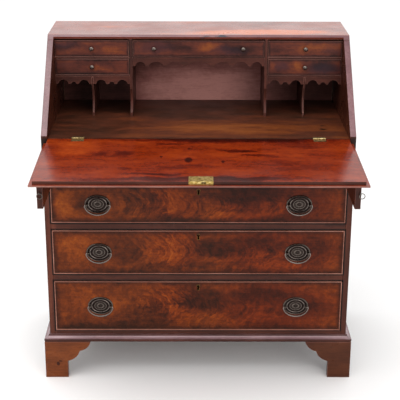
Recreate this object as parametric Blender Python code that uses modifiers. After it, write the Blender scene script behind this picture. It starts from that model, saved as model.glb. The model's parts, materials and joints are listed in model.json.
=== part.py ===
"""A mahogany slant-front secretary desk: a fall that folds out onto two sliding lopers,
four long drawers, and an interior of small drawers and pigeonholes.

Metres, +X right, +Y to the back, +Z up. Everything hangs from the empty "case", whose
local Y = 0 is the plane of the drawer fronts. The empty is set back so that the world
origin lies on the floor at the middle of the whole desk, open fall included.
"""

import math

import bmesh
import bpy
from mathutils import Matrix

MM = 0.001

# ---- driving dimensions -------------------------------------------------------------
CASE_WIDTH = 915 * MM
CASE_DEPTH = 463 * MM
CASE_HEIGHT = 1027 * MM
SLANT_START = 779.6 * MM  # height where the side panels' front edges turn back
TOP_DEPTH = 215.6 * MM

GAP = 0.3 * MM  # between pieces that touch
SLIDE = 0.7 * MM  # round each drawer, in its opening

SIDE_THICKNESS = 18 * MM
TOP_THICKNESS = 13.5 * MM
BACK_THICKNESS = 12 * MM
BACK_INSET = 2 * MM
BOARD_THICKNESS = 15 * MM
RAIL_THICKNESS = 20.5 * MM
DESK_RAIL_DEPTH = 60 * MM
RAIL_LAP = 0.5 * MM  # the rail is let into the desk board by this much
GUIDE_THICKNESS = 18 * MM

FOOT_HEIGHT = 123 * MM
FOOT_PAD = 70 * MM
FOOT_WING = 142 * MM
FOOT_THICKNESS = 20 * MM
FOOT_BLOCK = 34 * MM
ANKLE = 0.46  # share of a foot's height where its bracket leaves the pad
MOULDING_HEIGHT = 20 * MM
MOULDING_OUT = 16.35 * MM
BOTTOM_BOARD_RISE = 32.3 * MM  # the bottom board's top above the feet

FALL_DROOP = math.radians(2.2)
FALL_FACE = 1.4 * MM  # the hinge axis stands this far off the writing face
TONGUE_THICKNESS = 9.5 * MM
LIP_THICKNESS = 4.7 * MM
TONGUE_SHORT = 8.9 * MM  # the tongue and the lip stop this far short of the top's edge
LIP_SHORT = 1.9 * MM
LIP_SIDE = 10.3 * MM  # the lip laps this much of each side panel's edge
LIP_START = 14 * MM  # the lip's side laps start this far from the hinge axis
LIP_LAP = 5 * MM  # how far their pieces are let into the tongue
FALL_END = 1 * MM
FALL_OVER_RAIL = 2.3 * MM  # between the fall's underside and the rail below its hinges
TONGUE_CLEARANCE = 1 * MM
REBATE_CLEARANCE = 0.6 * MM

HINGE_INSET = 88.5 * MM  # from the case's inner side to the middle of a hinge
HINGE_WIDTH = 36 * MM
HINGE_LEAF = 22 * MM
HINGE_THICKNESS = 1.2 * MM
KNUCKLE_RADIUS = 2.6 * MM
PIN_RADIUS = 1.1 * MM
HINGE_CLEARANCE = 0.5 * MM

LOCK_X = 4.5 * MM
LOCK_WIDTH = 65 * MM
LOCK_DEPTH = 38 * MM
LOCK_PLATE = 1.4 * MM
LOCK_CASE = (54 * MM, 28 * MM, 5.5 * MM)
BOLT_SIZE = (12 * MM, 20 * MM, 3 * MM)
BOLT_X = LOCK_X + 7 * MM
BOLT_DEPTH = 5.4 * MM  # from the writing face to the far side of the bolt
BOLT_TRAVEL = 5 * MM
BOLT_CLEARANCE = 0.35 * MM
MORTISE_CLEARANCE = 0.6 * MM

LOPER_THICKNESS = 16.5 * MM
LOPER_BACK_ROOM = 37 * MM  # between a loper that is pushed in and the back
LOPER_OUT = 262 * MM
LOPER_CLEARANCE = 1 * MM
EYE_RADIUS = 3.2 * MM
EYE_WIRE = 1.0 * MM
EYE_SHANK = 1.5 * MM
RING_RADIUS = 7.5 * MM
RING_WIRE = 1.2 * MM
RING_LEAN = {"left": 0.0, "right": math.radians(35)}
EYE_SHIFT = {"left": 0.0, "right": 5.5 * MM}

# the long drawers from the bottom up: height of each front, gap at the top included
DRAWER_HEIGHTS = {
    "bottom": 168.1 * MM,
    "lower": 145.7 * MM,
    "upper": 122.1 * MM,
}
FRONT_THICKNESS = 20 * MM
DRAWER_BACK_ROOM = 14 * MM
DRAWER_WALL = 12 * MM
DRAWER_BOTTOM = 7 * MM
BOX_DROP = 10 * MM  # the box's walls stop this far below the top of the front
COCKBEAD_WIDTH = 3 * MM
COCKBEAD_OUT = 2 * MM

HANDLE_INSET = 140.5 * MM  # from the case's inner side to the middle of a handle
PLATE_SIZE = (79 * MM, 60 * MM)
PLATE_THICKNESS = 1.6 * MM
POST_SPACING = 63 * MM
POST_RADIUS = 3.8 * MM
POST_LENGTH = 13.5 * MM
BAIL_AXIS_OUT = 9.5 * MM
BAIL_SIZE = (38.3 * MM, 31 * MM)
BAIL_WIRE = 2.2 * MM
BAIL_PIN = 0.6  # the pins' share of the wire's radius
BAIL_CLEARANCE = 0.35 * MM
BAIL_SHOULDER = 1.3 * MM  # the bail bends down this far outside its posts

UNIT_CLEARANCE = 1.2 * MM  # between the closed fall and the front of the interior
BANK_WIDTH = 232.5 * MM  # from the case's inner side to the middle of a partition
PARTITION_THICKNESS = 7 * MM
FACING_WIDTH = 10 * MM
FACING_DEPTH = 8 * MM
DIVIDER_INSET = 113.5 * MM  # from the case's inner side to the middle of a divider
DIVIDER_THICKNESS = 5 * MM
DIVIDER_SETBACK = 6 * MM
SHELF_THICKNESS = 6 * MM
SMALL_DRAWER_ROOM = 50.5 * MM
SMALL_DRAWER_BACK_ROOM = 8.9 * MM
SMALL_FRONT = 10 * MM
SMALL_WALL = 6 * MM
SMALL_HEADROOM = 4 * MM
VALANCE_DROP = 25 * MM
VALANCE_THICKNESS = 5 * MM
VALANCE_TIP = 7 * MM
ARCH_RISE = 0.42  # of the arch's width, up to this share of the valance's drop
ARCH_LIMIT = 0.55
SCOOP_DEPTH = 14 * MM
SCOOP_TOE = 12 * MM  # straight length of the front edge above and below the hollow
KNOB_RADIUS = 7 * MM
KNOB_LENGTH = 13 * MM
CENTRE_KNOB_INSET = 71 * MM  # from the middle of a partition

# ---- values that follow from the driving dimensions ---------------------------------
HALF = CASE_WIDTH / 2
INNER = HALF - SIDE_THICKNESS
SLANT_RUN = CASE_DEPTH - TOP_DEPTH
SLANT_RISE = CASE_HEIGHT - SLANT_START
SLANT = math.atan2(SLANT_RISE, SLANT_RUN)
SLANT_LENGTH = math.hypot(SLANT_RISE, SLANT_RUN)
TOP_UNDER = CASE_HEIGHT - TOP_THICKNESS
BACK_FRONT = CASE_DEPTH - BACK_INSET - BACK_THICKNESS

AXIS_INSET = FALL_FACE + TONGUE_THICKNESS - GAP
AXIS_Y = AXIS_INSET * math.sin(SLANT)
AXIS_Z = SLANT_START - AXIS_INSET * math.cos(SLANT)
FALL_UNDER = FALL_FACE + TONGUE_THICKNESS + LIP_THICKNESS
# the tongue and the lip grow with the slanted opening that they close
TONGUE_END = SLANT_LENGTH - TONGUE_SHORT
LIP_END = SLANT_LENGTH - LIP_SHORT
FALL_FRONT_Y = AXIS_Y - LIP_END * math.cos(FALL_DROOP)
FALL_FRONT_Y += (FALL_FACE + TONGUE_THICKNESS) * math.sin(FALL_DROOP)
CASE_BACK_SHIFT = -(CASE_DEPTH + FALL_FRONT_Y) / 2

DESK_TOP = AXIS_Z - FALL_FACE
DESK_THICKNESS = TONGUE_THICKNESS + LIP_THICKNESS + FALL_OVER_RAIL
DESK_FRONT = AXIS_Y + FALL_END + GAP / 3
# the fall's underside above the lopers' front ends
LOPER_REACH = (AXIS_Y + LOPER_OUT) / math.cos(FALL_DROOP)
LOPER_REACH += FALL_UNDER * math.tan(FALL_DROOP)
LOPER_TOP = AXIS_Z - LOPER_REACH * math.sin(FALL_DROOP)
LOPER_TOP -= FALL_UNDER * math.cos(FALL_DROOP) + GAP
DESK_RAIL_BOTTOM = LOPER_TOP + LOPER_CLEARANCE / 2

UNIT_FRONT = AXIS_Y + (TOP_UNDER - AXIS_Z) / math.tan(SLANT) + UNIT_CLEARANCE
UNIT_FRONT -= FALL_FACE / math.sin(SLANT)
UPPER_SHELF_TOP = TOP_UNDER - GAP - SMALL_DRAWER_ROOM - SMALL_HEADROOM
LOWER_SHELF_TOP = UPPER_SHELF_TOP - SHELF_THICKNESS - SMALL_DRAWER_ROOM

BOTTOM_BOARD_TOP = FOOT_HEIGHT + BOTTOM_BOARD_RISE
HINGE_X = INNER - HINGE_INSET
HANDLE_X = INNER - HANDLE_INSET
PARTITION_X = INNER - BANK_WIDTH
DIVIDER_X = INNER - DIVIDER_INSET
CENTRE_KNOB_X = PARTITION_X - CENTRE_KNOB_INSET
DRAWER_LENGTH = BACK_FRONT - DRAWER_BACK_ROOM
LOPER_LENGTH = BACK_FRONT - LOPER_BACK_ROOM
SMALL_DRAWER_LENGTH = BACK_FRONT - UNIT_FRONT - SMALL_DRAWER_BACK_ROOM

SIDES = {"left": -1, "right": 1}


# ---- scene and materials ------------------------------------------------------------
def clear_scene():
    for obj in list(bpy.data.objects):
        bpy.data.objects.remove(obj, do_unlink=True)


def new_collection(name):
    collection = bpy.data.collections.new(name)
    bpy.context.scene.collection.children.link(collection)
    return collection


def new_material(name, colour, roughness, metallic=0.0):
    material = bpy.data.materials.new(name)
    material.use_nodes = True
    shader = material.node_tree.nodes["Principled BSDF"]
    shader.inputs["Base Color"].default_value = (*colour, 1.0)
    shader.inputs["Roughness"].default_value = roughness
    shader.inputs["Metallic"].default_value = metallic
    return material


clear_scene()
PARTS = new_collection("secretary_desk")
CUTTERS = new_collection("cutters")

MAHOGANY = new_material("mahogany", (0.20, 0.055, 0.022), 0.28)
FLAME = new_material("flame_mahogany", (0.24, 0.075, 0.03), 0.25)
WRITING = new_material("writing_surface", (0.33, 0.07, 0.025), 0.2)
INTERIOR = new_material("interior_mahogany", (0.12, 0.035, 0.02), 0.4)
DRAWER_LINING = new_material("drawer_lining_oak", (0.35, 0.22, 0.11), 0.6)
BACKBOARD = new_material("backboard_pine", (0.16, 0.09, 0.05), 0.7)
BRASS = new_material("brass", (0.46, 0.33, 0.13), 0.35, 1.0)
BRONZE = new_material("dark_bronze", (0.06, 0.045, 0.035), 0.4, 1.0)


# ---- modelling helpers --------------------------------------------------------------
def empty(name, location, parent=None, tilt=0.0):
    """An axis or frame of reference; tilt turns it about X."""
    obj = bpy.data.objects.new(name, None)
    obj.empty_display_size = 0.05
    obj.location = location
    obj.rotation_euler = (tilt, 0, 0)
    obj.parent = parent
    PARTS.objects.link(obj)
    return obj


def place(name, mesh, material, parent, location=(0, 0, 0)):
    """A named piece from a mesh that is drawn about its own origin."""
    obj = bpy.data.objects.new(name, mesh)
    obj.location = location
    obj.parent = parent
    if material:
        mesh.materials.append(material)
        PARTS.objects.link(obj)
    else:
        obj.display_type = "WIRE"
        obj.hide_render = True
        CUTTERS.objects.link(obj)
    return obj


def mesh_of(shape, name="shape"):
    """The mesh of a finished bmesh, normals outward."""
    bmesh.ops.recalc_face_normals(shape, faces=shape.faces)
    mesh = bpy.data.meshes.new(name)
    shape.to_mesh(mesh)
    shape.free()
    return mesh


def block(low, high):
    """A box between two corners."""
    shape = bmesh.new()
    bmesh.ops.create_cube(shape, size=1.0)
    for vert in shape.verts:
        for axis in range(3):
            middle = (low[axis] + high[axis]) / 2
            vert.co[axis] = middle + vert.co[axis] * (high[axis] - low[axis])
    return mesh_of(shape)


ALONG = {
    "x": Matrix(((0, 0, 1, 0), (1, 0, 0, 0), (0, 1, 0, 0), (0, 0, 0, 1))),
    "y": Matrix(((1, 0, 0, 0), (0, 0, -1, 0), (0, 1, 0, 0), (0, 0, 0, 1))),
    "z": Matrix.Identity(4),
}


def prism(points, axis, low, high):
    """An outline drawn square to an axis and extruded from low to high along it.

    The outline's points are (y, z) for axis x, (x, z) for axis y and (x, y) for axis z.
    """
    curve = bpy.data.curves.new("outline", "CURVE")
    curve.dimensions = "2D"
    curve.fill_mode = "BOTH"
    curve.extrude = (high - low) / 2
    spline = curve.splines.new("POLY")
    spline.points.add(len(points) - 1)
    for point, (a, b) in zip(spline.points, points):
        point.co = (a, b, 0, 1)
    spline.use_cyclic_u = True
    drawn = bpy.data.objects.new("outline", curve)
    CUTTERS.objects.link(drawn)
    bpy.context.view_layer.update()
    graph = bpy.context.evaluated_depsgraph_get()
    mesh = bpy.data.meshes.new_from_object(drawn.evaluated_get(graph))
    bpy.data.objects.remove(drawn)
    bpy.data.curves.remove(curve)
    shape = bmesh.new()
    shape.from_mesh(mesh)
    bpy.data.meshes.remove(mesh)
    bmesh.ops.remove_doubles(shape, verts=shape.verts, dist=1e-6)
    shape.transform(ALONG[axis])
    # the second matrix row of axis y points the extrusion to -Y, so it is centred first
    shift = {"x": (1, 0, 0), "y": (0, 1, 0), "z": (0, 0, 1)}[axis]
    middle = (low + high) / 2
    bmesh.ops.translate(shape, verts=shape.verts, vec=[middle * part for part in shift])
    return mesh_of(shape)


def rod(start, radius, length, axis, segments=16, far_radius=None):
    """A cylinder or cone that starts at a point and runs along +x, -y or +z."""
    turns = {
        "x": Matrix.Rotation(math.pi / 2, 4, "Y"),
        "y": Matrix.Rotation(math.pi / 2, 4, "X"),
        "z": Matrix.Identity(4),
    }
    shape = bmesh.new()
    bmesh.ops.create_cone(
        shape,
        cap_ends=True,
        segments=segments,
        radius1=radius,
        radius2=radius if far_radius is None else far_radius,
        depth=length,
        matrix=Matrix.Translation(start) @ turns[axis] @ Matrix.Translation((0, 0, length / 2)),
    )
    return mesh_of(shape)


def turned(profile):
    """The mesh of a (radius, height) profile that add_screw turns, running down its outside."""
    shape = bmesh.new()
    verts = [shape.verts.new((radius, 0, height)) for radius, height in profile]
    for first, second in zip(verts, verts[1:]):
        shape.edges.new((first, second))
    mesh = bpy.data.meshes.new("profile")
    shape.to_mesh(mesh)
    shape.free()
    return mesh


def add_screw(obj, segments):
    screw = obj.modifiers.new("turn", "SCREW")
    screw.axis = "Z"
    screw.steps = segments
    screw.render_steps = segments
    screw.use_merge_vertices = True
    screw.merge_threshold = 0.00001
    screw.use_normal_calculate = True


def combine(obj, other_mesh, operation, name="cutter"):
    """Adds a Boolean with a helper that shares the piece's parent and place."""
    other = place(f"{obj.name}_{name}", other_mesh, None, obj.parent, obj.location)
    modifier = obj.modifiers.new(name, "BOOLEAN")
    modifier.operation = operation
    modifier.solver = "EXACT"
    modifier.object = other
    return other


def cut(obj, other_mesh, name="cutter"):
    return combine(obj, other_mesh, "DIFFERENCE", name)


def add(obj, other_mesh, name="addition"):
    return combine(obj, other_mesh, "UNION", name)


def smooth(obj):
    obj.data.shade_smooth()
    obj.data.set_sharp_from_angle(angle=math.radians(40))


def arc(start, end, bulge, steps):
    """Points after start, up to end, on an arc that stands off the chord by bulge.

    A positive bulge is to the left of the way from start to end.
    """
    chord = math.dist(start, end)
    radius = (chord**2 / 4 + bulge**2) / (2 * abs(bulge))
    half = math.asin(min(1.0, chord / 2 / radius))
    if abs(bulge) > chord / 2:
        half = math.pi - half
    along = ((end[0] - start[0]) / chord, (end[1] - start[1]) / chord)
    left = (-along[1], along[0])
    points = []
    for i in range(1, steps + 1):
        turn = -half + 2 * half * i / steps
        run = chord / 2 + radius * math.sin(turn)
        rise = math.copysign(radius * (math.cos(turn) - math.cos(half)), bulge)
        points.append(
            (
                start[0] + along[0] * run + left[0] * rise,
                start[1] + along[1] * run + left[1] * rise,
            )
        )
    return points


# ---- the case -----------------------------------------------------------------------
def slant_point(along, inward=0.0):
    """(y, z) on the slanted front plane, or that far inside it."""
    return (
        along * math.cos(SLANT) + inward * math.sin(SLANT),
        SLANT_START + along * math.sin(SLANT) - inward * math.cos(SLANT),
    )


def build_side_panels(case):
    top = TOP_UNDER - GAP
    run = (top - SLANT_START) / math.tan(SLANT)
    outline = [
        (0, FOOT_HEIGHT + GAP),
        (CASE_DEPTH, FOOT_HEIGHT + GAP),
        (CASE_DEPTH, top),
        (run, top),
        (0, SLANT_START),
    ]
    for side, sign in SIDES.items():
        low, high = sorted((sign * INNER, sign * HALF))
        place(f"side_panel_{side}", prism(outline, "x", low, high), MAHOGANY, case)


def build_top_board(case):
    run = (TOP_UNDER - SLANT_START) / math.tan(SLANT)
    outline = [
        (run, TOP_UNDER),
        (CASE_DEPTH, TOP_UNDER),
        (CASE_DEPTH, CASE_HEIGHT),
        (SLANT_RUN, CASE_HEIGHT),
    ]
    top = place("top_board", prism(outline, "x", -HALF, HALF), MAHOGANY, case)
    rebate_end = TONGUE_END + REBATE_CLEARANCE
    rebate_depth = AXIS_INSET - FALL_FACE + REBATE_CLEARANCE + GAP
    spare = 30 * MM
    rebate = [
        slant_point(rebate_end, -spare),
        slant_point(rebate_end, rebate_depth),
        slant_point(rebate_end - spare, rebate_depth),
        slant_point(rebate_end - spare, -spare),
    ]
    cut(top, prism(rebate, "x", -INNER, INNER), "rebate")
    # the mortise that the lock's bolt enters when the fall is shut
    bolt_low, bolt_high = bolt_heights()
    room = MORTISE_CLEARANCE
    deep = rebate_end + BOLT_TRAVEL + room
    mortise = [
        slant_point(rebate_end - 2 * room, AXIS_INSET + bolt_low - room),
        slant_point(deep, AXIS_INSET + bolt_low - room),
        slant_point(deep, AXIS_INSET + bolt_high + room),
        slant_point(rebate_end - 2 * room, AXIS_INSET + bolt_high + room),
    ]
    half_bolt = BOLT_SIZE[0] / 2 + room
    cut(top, prism(mortise, "x", BOLT_X - half_bolt, BOLT_X + half_bolt), "bolt_mortise")


def build_back_and_bottom(case):
    low = FOOT_HEIGHT + GAP
    back = block(
        (-INNER + GAP, BACK_FRONT, low),
        (INNER - GAP, BACK_FRONT + BACK_THICKNESS, TOP_UNDER - GAP),
    )
    place("back_panel", back, BACKBOARD, case)
    bottom = block(
        (-INNER + GAP, 0, BOTTOM_BOARD_TOP - BOARD_THICKNESS),
        (INNER - GAP, BACK_FRONT - GAP, BOTTOM_BOARD_TOP),
    )
    place("bottom_board", bottom, MAHOGANY, case)


def drawer_levels():
    """Name and (low, high) of each drawer opening, from the bottom up."""
    levels = {}
    floor = BOTTOM_BOARD_TOP
    for name, height in DRAWER_HEIGHTS.items():
        levels[name] = (floor, floor + height)
        floor += height + RAIL_THICKNESS
    levels["top"] = (floor, DESK_RAIL_BOTTOM)
    return levels


def build_dividers(case):
    levels = list(drawer_levels().values())
    names = ("lower", "middle", "upper")
    for name, below, above in zip(names, levels, levels[1:]):
        board = block(
            (-INNER + GAP, 0, below[1]),
            (INNER - GAP, BACK_FRONT - GAP, above[0]),
        )
        place(f"drawer_divider_{name}", board, MAHOGANY, case)


def build_desk_board(case):
    half = INNER - GAP
    under = DESK_TOP - DESK_THICKNESS
    board = block((-half, DESK_FRONT, under), (half, BACK_FRONT - GAP, DESK_TOP))
    desk = place("desk_board", board, WRITING, case)
    rail = block((-half, 0, DESK_RAIL_BOTTOM), (half, DESK_RAIL_DEPTH, under + RAIL_LAP))
    add(desk, rail, "front_rail")
    for sign in SIDES.values():
        centre = (sign * HINGE_X, AXIS_Y, AXIS_Z)
        cut(desk, knuckle_room(centre), f"knuckle_room{sign}")
        leaf_low = (centre[0] - HINGE_WIDTH / 2 - GAP, AXIS_Y, DESK_TOP - HINGE_THICKNESS - GAP)
        leaf_high = (centre[0] + HINGE_WIDTH / 2 + GAP, AXIS_Y + HINGE_LEAF + GAP, DESK_TOP + MM)
        cut(desk, block(leaf_low, leaf_high), f"leaf_room{sign}")


def knuckle_room(centre):
    """The scoop that a hinge's knuckle turns in."""
    width = HINGE_WIDTH + 4 * GAP
    start = (centre[0] - width / 2, centre[1], centre[2])
    return rod(start, KNUCKLE_RADIUS + HINGE_CLEARANCE, width, "x", 20)


def build_loper_guides(case):
    floor = drawer_levels()["top"][0] + GAP
    under = DESK_TOP - DESK_THICKNESS
    outline = [
        (0, floor),
        (BACK_FRONT - GAP, floor),
        (BACK_FRONT - GAP, under - GAP),
        (DESK_RAIL_DEPTH + GAP, under - GAP),
        (DESK_RAIL_DEPTH + GAP, DESK_RAIL_BOTTOM - GAP),
        (0, DESK_RAIL_BOTTOM - GAP),
    ]
    outer = INNER - 2 * LOPER_CLEARANCE - LOPER_THICKNESS
    for side, sign in SIDES.items():
        low, high = sorted((sign * outer, sign * (outer - GUIDE_THICKNESS)))
        place(f"loper_guide_{side}", prism(outline, "x", low, high), MAHOGANY, case)


# ---- base ---------------------------------------------------------------------------
def moulding_profile():
    """(out, up) from the case's face and the moulding's bottom edge."""
    fillet = 2.7 * MM
    set_in = 1.5 * MM
    straight = 9 * MM
    neck = 4 * MM
    shoulder = MOULDING_HEIGHT - 1.8 * MM
    points = [
        (GAP, 0),
        (MOULDING_OUT - set_in, 0),
        (MOULDING_OUT - set_in, fillet),
        (MOULDING_OUT, fillet),
        (MOULDING_OUT, straight),
    ]
    points += arc(points[-1], (neck, shoulder), 3.2 * MM, 6)
    return points + [(neck, MOULDING_HEIGHT), (GAP, MOULDING_HEIGHT)]


def build_base_moulding(case):
    floor = FOOT_HEIGHT + GAP
    profile = moulding_profile()
    front = prism([(-out, floor + up) for out, up in profile], "x", -1, 1)
    for vert in front.vertices:
        vert.co.x = math.copysign(HALF - vert.co.y - GAP / 2, vert.co.x)
    place("base_moulding_front", front, MAHOGANY, case)
    for side, sign in SIDES.items():
        outline = [(sign * (HALF + out), floor + up) for out, up in profile]
        run = prism(outline, "y", 0, CASE_DEPTH)
        for vert in run.vertices:
            if vert.co.y < CASE_DEPTH / 2:
                vert.co.y = -(abs(vert.co.x) - HALF) + GAP / 2
        place(f"base_moulding_{side}", run, MAHOGANY, case)


def bracket_outline(spare=0.0):
    """(inward, up) round one wing of a bracket foot, from its outer corner.

    The spare height lets one wing's outline overrun the other's where the two cross.
    """
    top = FOOT_HEIGHT
    points = [(0, -spare), (FOOT_PAD, -spare), (FOOT_PAD, ANKLE * top)]
    lobe_end, cusp = (FOOT_PAD + 32 * MM, 0.63 * top), (FOOT_PAD + 38 * MM, 0.74 * top)
    lobe_bulge, ogee_bulge = -3.5 * MM, -7 * MM
    points += arc(points[-1], lobe_end, lobe_bulge, 5)
    points.append(cusp)
    points += arc(cusp, (FOOT_WING, top), ogee_bulge, 6)
    if spare:
        points.append((FOOT_WING, top + spare))
    return points + [(0, top + spare)]


def plain_outline(spare):
    """(inward, up) round the hidden rear wing of a back foot."""
    top = FOOT_HEIGHT + spare
    return [(0, -spare), (FOOT_PAD, -spare), (FOOT_PAD, ANKLE * top), (FOOT_WING, top), (0, top)]


def build_feet(case):
    """Each foot is where its two wings' outlines cross, hollowed behind to an angle."""
    out = HALF + MOULDING_OUT
    spare = 2 * MM
    for side, sign in SIDES.items():
        for end in ("front", "back"):
            face = -MOULDING_OUT if end == "front" else CASE_DEPTH
            inward = 1 if end == "front" else -1

            def corner_range(near, far):
                """Low and high in X and in Y, at two distances in from the outer corner."""
                x_low, x_high = sorted((sign * (out - near), sign * (out - far)))
                y_low, y_high = sorted((face + inward * near, face + inward * far))
                return (x_low, x_high), (y_low, y_high)

            across, along = corner_range(-spare, FOOT_WING + spare)
            side_wing = [(face + inward * run, up) for run, up in bracket_outline()]
            foot = prism(side_wing, "x", *across)
            foot = place(f"foot_{end}_{side}", foot, MAHOGANY, case)
            shape = bracket_outline(spare) if end == "front" else plain_outline(spare)
            end_wing = [(sign * (out - run), up) for run, up in shape]
            combine(foot, prism(end_wing, "y", *along), "INTERSECT", "end_wing")
            across, along = corner_range(FOOT_THICKNESS, FOOT_WING + 2 * spare)
            low, high = zip(across, along, (-spare, FOOT_HEIGHT + spare))
            cut(foot, block(low, high), "behind")
            near = FOOT_THICKNESS - spare
            across, along = corner_range(near, near + FOOT_BLOCK)
            low, high = zip(across, along, (spare, FOOT_HEIGHT - spare))
            add(foot, block(low, high), "glue_block")


# ---- the fall -----------------------------------------------------------------------
def bolt_heights():
    """Heights of the bolt's two faces below the hinge axis."""
    low = -FALL_FACE - BOLT_DEPTH
    return low, low + BOLT_SIZE[2]


def build_fall(case):
    """The fall is drawn flat, open towards -Y, about the hinge axis that carries it."""
    pivot = empty("fall_hinge_axis", (0, AXIS_Y, AXIS_Z), case, FALL_DROOP)
    half_tongue = INNER - TONGUE_CLEARANCE
    half_lip = INNER + LIP_SIDE - TONGUE_CLEARANCE
    step = -FALL_FACE - TONGUE_THICKNESS
    outline = [
        (-FALL_END, -FALL_FACE),
        (-TONGUE_END, -FALL_FACE),
        (-TONGUE_END, step),
        (-LIP_END, step),
        (-LIP_END, -FALL_UNDER),
        (-FALL_END, -FALL_UNDER),
    ]
    fall = place("fall_board", prism(outline, "x", -half_tongue, half_tongue), WRITING, pivot)
    for side, sign in SIDES.items():
        low, high = sorted((sign * (half_tongue - LIP_LAP), sign * half_lip))
        edge = block((low, -LIP_END, -FALL_UNDER), (high, -LIP_START, step))
        add(fall, edge, f"lip_{side}")
        centre = (sign * HINGE_X, 0, 0)
        cut(fall, knuckle_room(centre), f"knuckle_room_{side}")
        room = HINGE_WIDTH / 2 + GAP
        floor = -FALL_FACE - HINGE_THICKNESS - GAP
        recess = block(
            (centre[0] - room, -HINGE_LEAF - GAP, floor), (centre[0] + room, 0, MM)
        )
        cut(fall, recess, f"leaf_room_{side}")
    cut_lock_room(fall)
    build_lock(pivot)
    build_hinges(case, pivot)
    return pivot


def lock_sizes():
    half = LOCK_WIDTH / 2
    case_half = LOCK_CASE[0] / 2
    case_floor = -FALL_FACE - LOCK_PLATE - LOCK_CASE[2]
    return half, case_half, case_floor


def cut_lock_room(fall):
    half, case_half, case_floor = lock_sizes()
    edge = -TONGUE_END
    plate = block(
        (LOCK_X - half - GAP, edge - MM, -FALL_FACE - LOCK_PLATE - GAP),
        (LOCK_X + half + GAP, edge + LOCK_DEPTH + GAP, MM),
    )
    cut(fall, plate, "lock_plate_room")
    selvedge = block(
        (LOCK_X - half - GAP, edge - MM, -FALL_FACE - TONGUE_THICKNESS),
        (LOCK_X + half + GAP, edge + LOCK_PLATE + GAP, -FALL_FACE),
    )
    cut(fall, selvedge, "lock_selvedge_room")
    body = block(
        (LOCK_X - case_half - GAP, edge, case_floor - GAP),
        (LOCK_X + case_half + GAP, edge + LOCK_PLATE + LOCK_CASE[1] + GAP, -FALL_FACE),
    )
    cut(fall, body, "lock_case_room")


def build_lock(pivot):
    half, case_half, case_floor = lock_sizes()
    edge = -TONGUE_END
    step = -FALL_FACE - TONGUE_THICKNESS + GAP
    outline = [
        (edge, -FALL_FACE),
        (edge, step),
        (edge + LOCK_PLATE, step),
        (edge + LOCK_PLATE, -FALL_FACE - LOCK_PLATE),
        (edge + LOCK_DEPTH, -FALL_FACE - LOCK_PLATE),
        (edge + LOCK_DEPTH, -FALL_FACE),
    ]
    plate = prism(outline, "x", LOCK_X - half, LOCK_X + half)
    lock = place("fall_lock", plate, BRASS, pivot)
    overlap = 0.4 * MM
    body = block(
        (LOCK_X - case_half, edge + overlap, case_floor),
        (LOCK_X + case_half, edge + LOCK_PLATE + LOCK_CASE[1], -FALL_FACE - overlap),
    )
    add(lock, body, "lock_case")
    low, high = bolt_heights()
    slot = block(
        (BOLT_X - BOLT_SIZE[0] / 2 - BOLT_CLEARANCE, edge - MM, low - BOLT_CLEARANCE),
        (
            BOLT_X + BOLT_SIZE[0] / 2 + BOLT_CLEARANCE,
            edge + BOLT_SIZE[1] + 2 * MM,
            high + BOLT_CLEARANCE,
        ),
    )
    cut(lock, slot, "bolt_slot")
    bolt = block(
        (-BOLT_SIZE[0] / 2, GAP, low),
        (BOLT_SIZE[0] / 2, GAP + BOLT_SIZE[1], high),
    )
    place("fall_lock_bolt", bolt, BRASS, pivot, (BOLT_X, edge, 0))


def build_leaf(name, parent, axis_point, away, notches, knuckles):
    """One leaf of a hinge: a plate lying towards -Y or +Y of the axis and just below it,
    notched where the other leaf's knuckles turn, with its own knuckles added."""
    x, y, z = axis_point
    half = HINGE_WIDTH / 2
    low_y, high_y = sorted((y + away * (PIN_RADIUS + MM), y + away * HINGE_LEAF))
    floor = z - FALL_FACE - HINGE_THICKNESS
    plate = block((x - half, low_y, floor), (x + half, high_y, z - FALL_FACE))
    leaf = place(name, plate, BRASS, parent)
    near = y + away * (KNUCKLE_RADIUS + HINGE_CLEARANCE)
    low_y, high_y = sorted((y, near))
    for number, (low, high) in enumerate(notches):
        notch = block((x + low, low_y, floor - MM), (x + high, high_y, z + MM))
        cut(leaf, notch, f"notch_{number}")
    for number, (low, high) in enumerate(knuckles):
        knuckle = rod((x + low, y, z), KNUCKLE_RADIUS, high - low, "x")
        add(leaf, knuckle, f"knuckle_{number}")
    return leaf


def build_hinges(case, pivot):
    """Leaf hinges: the fall's leaf has the middle knuckle, the desk's leaf the outer two."""
    half = HINGE_WIDTH / 2
    sixth = HINGE_WIDTH / 6
    ease = 0.2 * MM
    middle = (-sixth + GAP, sixth - GAP)
    outers = [(-half + ease, -sixth), (sixth, half - ease)]
    for side, sign in SIDES.items():
        x = sign * HINGE_X
        notches = [(-half - MM, middle[0] + ease), (middle[1] - ease, half + MM)]
        fall_leaf = build_leaf(
            f"hinge_fall_leaf_{side}", pivot, (x, 0, 0), -1, notches, [middle]
        )
        start = (x - 2 * sixth, 0, 0)
        hole = rod(start, PIN_RADIUS + BOLT_CLEARANCE, 4 * sixth, "x")
        cut(fall_leaf, hole, "pin_hole")
        notches = [(-sixth - ease, sixth + ease)]
        axis_point = (x, AXIS_Y, AXIS_Z)
        desk_leaf = build_leaf(
            f"hinge_desk_leaf_{side}", case, axis_point, 1, notches, outers
        )
        start = (x - half + MM, AXIS_Y, AXIS_Z)
        add(desk_leaf, rod(start, PIN_RADIUS, HINGE_WIDTH - 2 * MM, "x", 12), "pin")


# ---- lopers -------------------------------------------------------------------------
def ring_mesh(radius, wire, plane, major=20, minor=8):
    """A ring in the xz plane, or in the yz plane."""
    bpy.ops.mesh.primitive_torus_add(
        major_radius=radius, minor_radius=wire, major_segments=major, minor_segments=minor
    )
    made = bpy.context.object
    mesh = made.data.copy()
    bpy.data.objects.remove(made, do_unlink=True)
    turn = {"xz": Matrix.Rotation(math.pi / 2, 4, "X"), "yz": Matrix.Rotation(math.pi / 2, 4, "Y")}
    mesh.transform(turn[plane])
    return mesh


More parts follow.
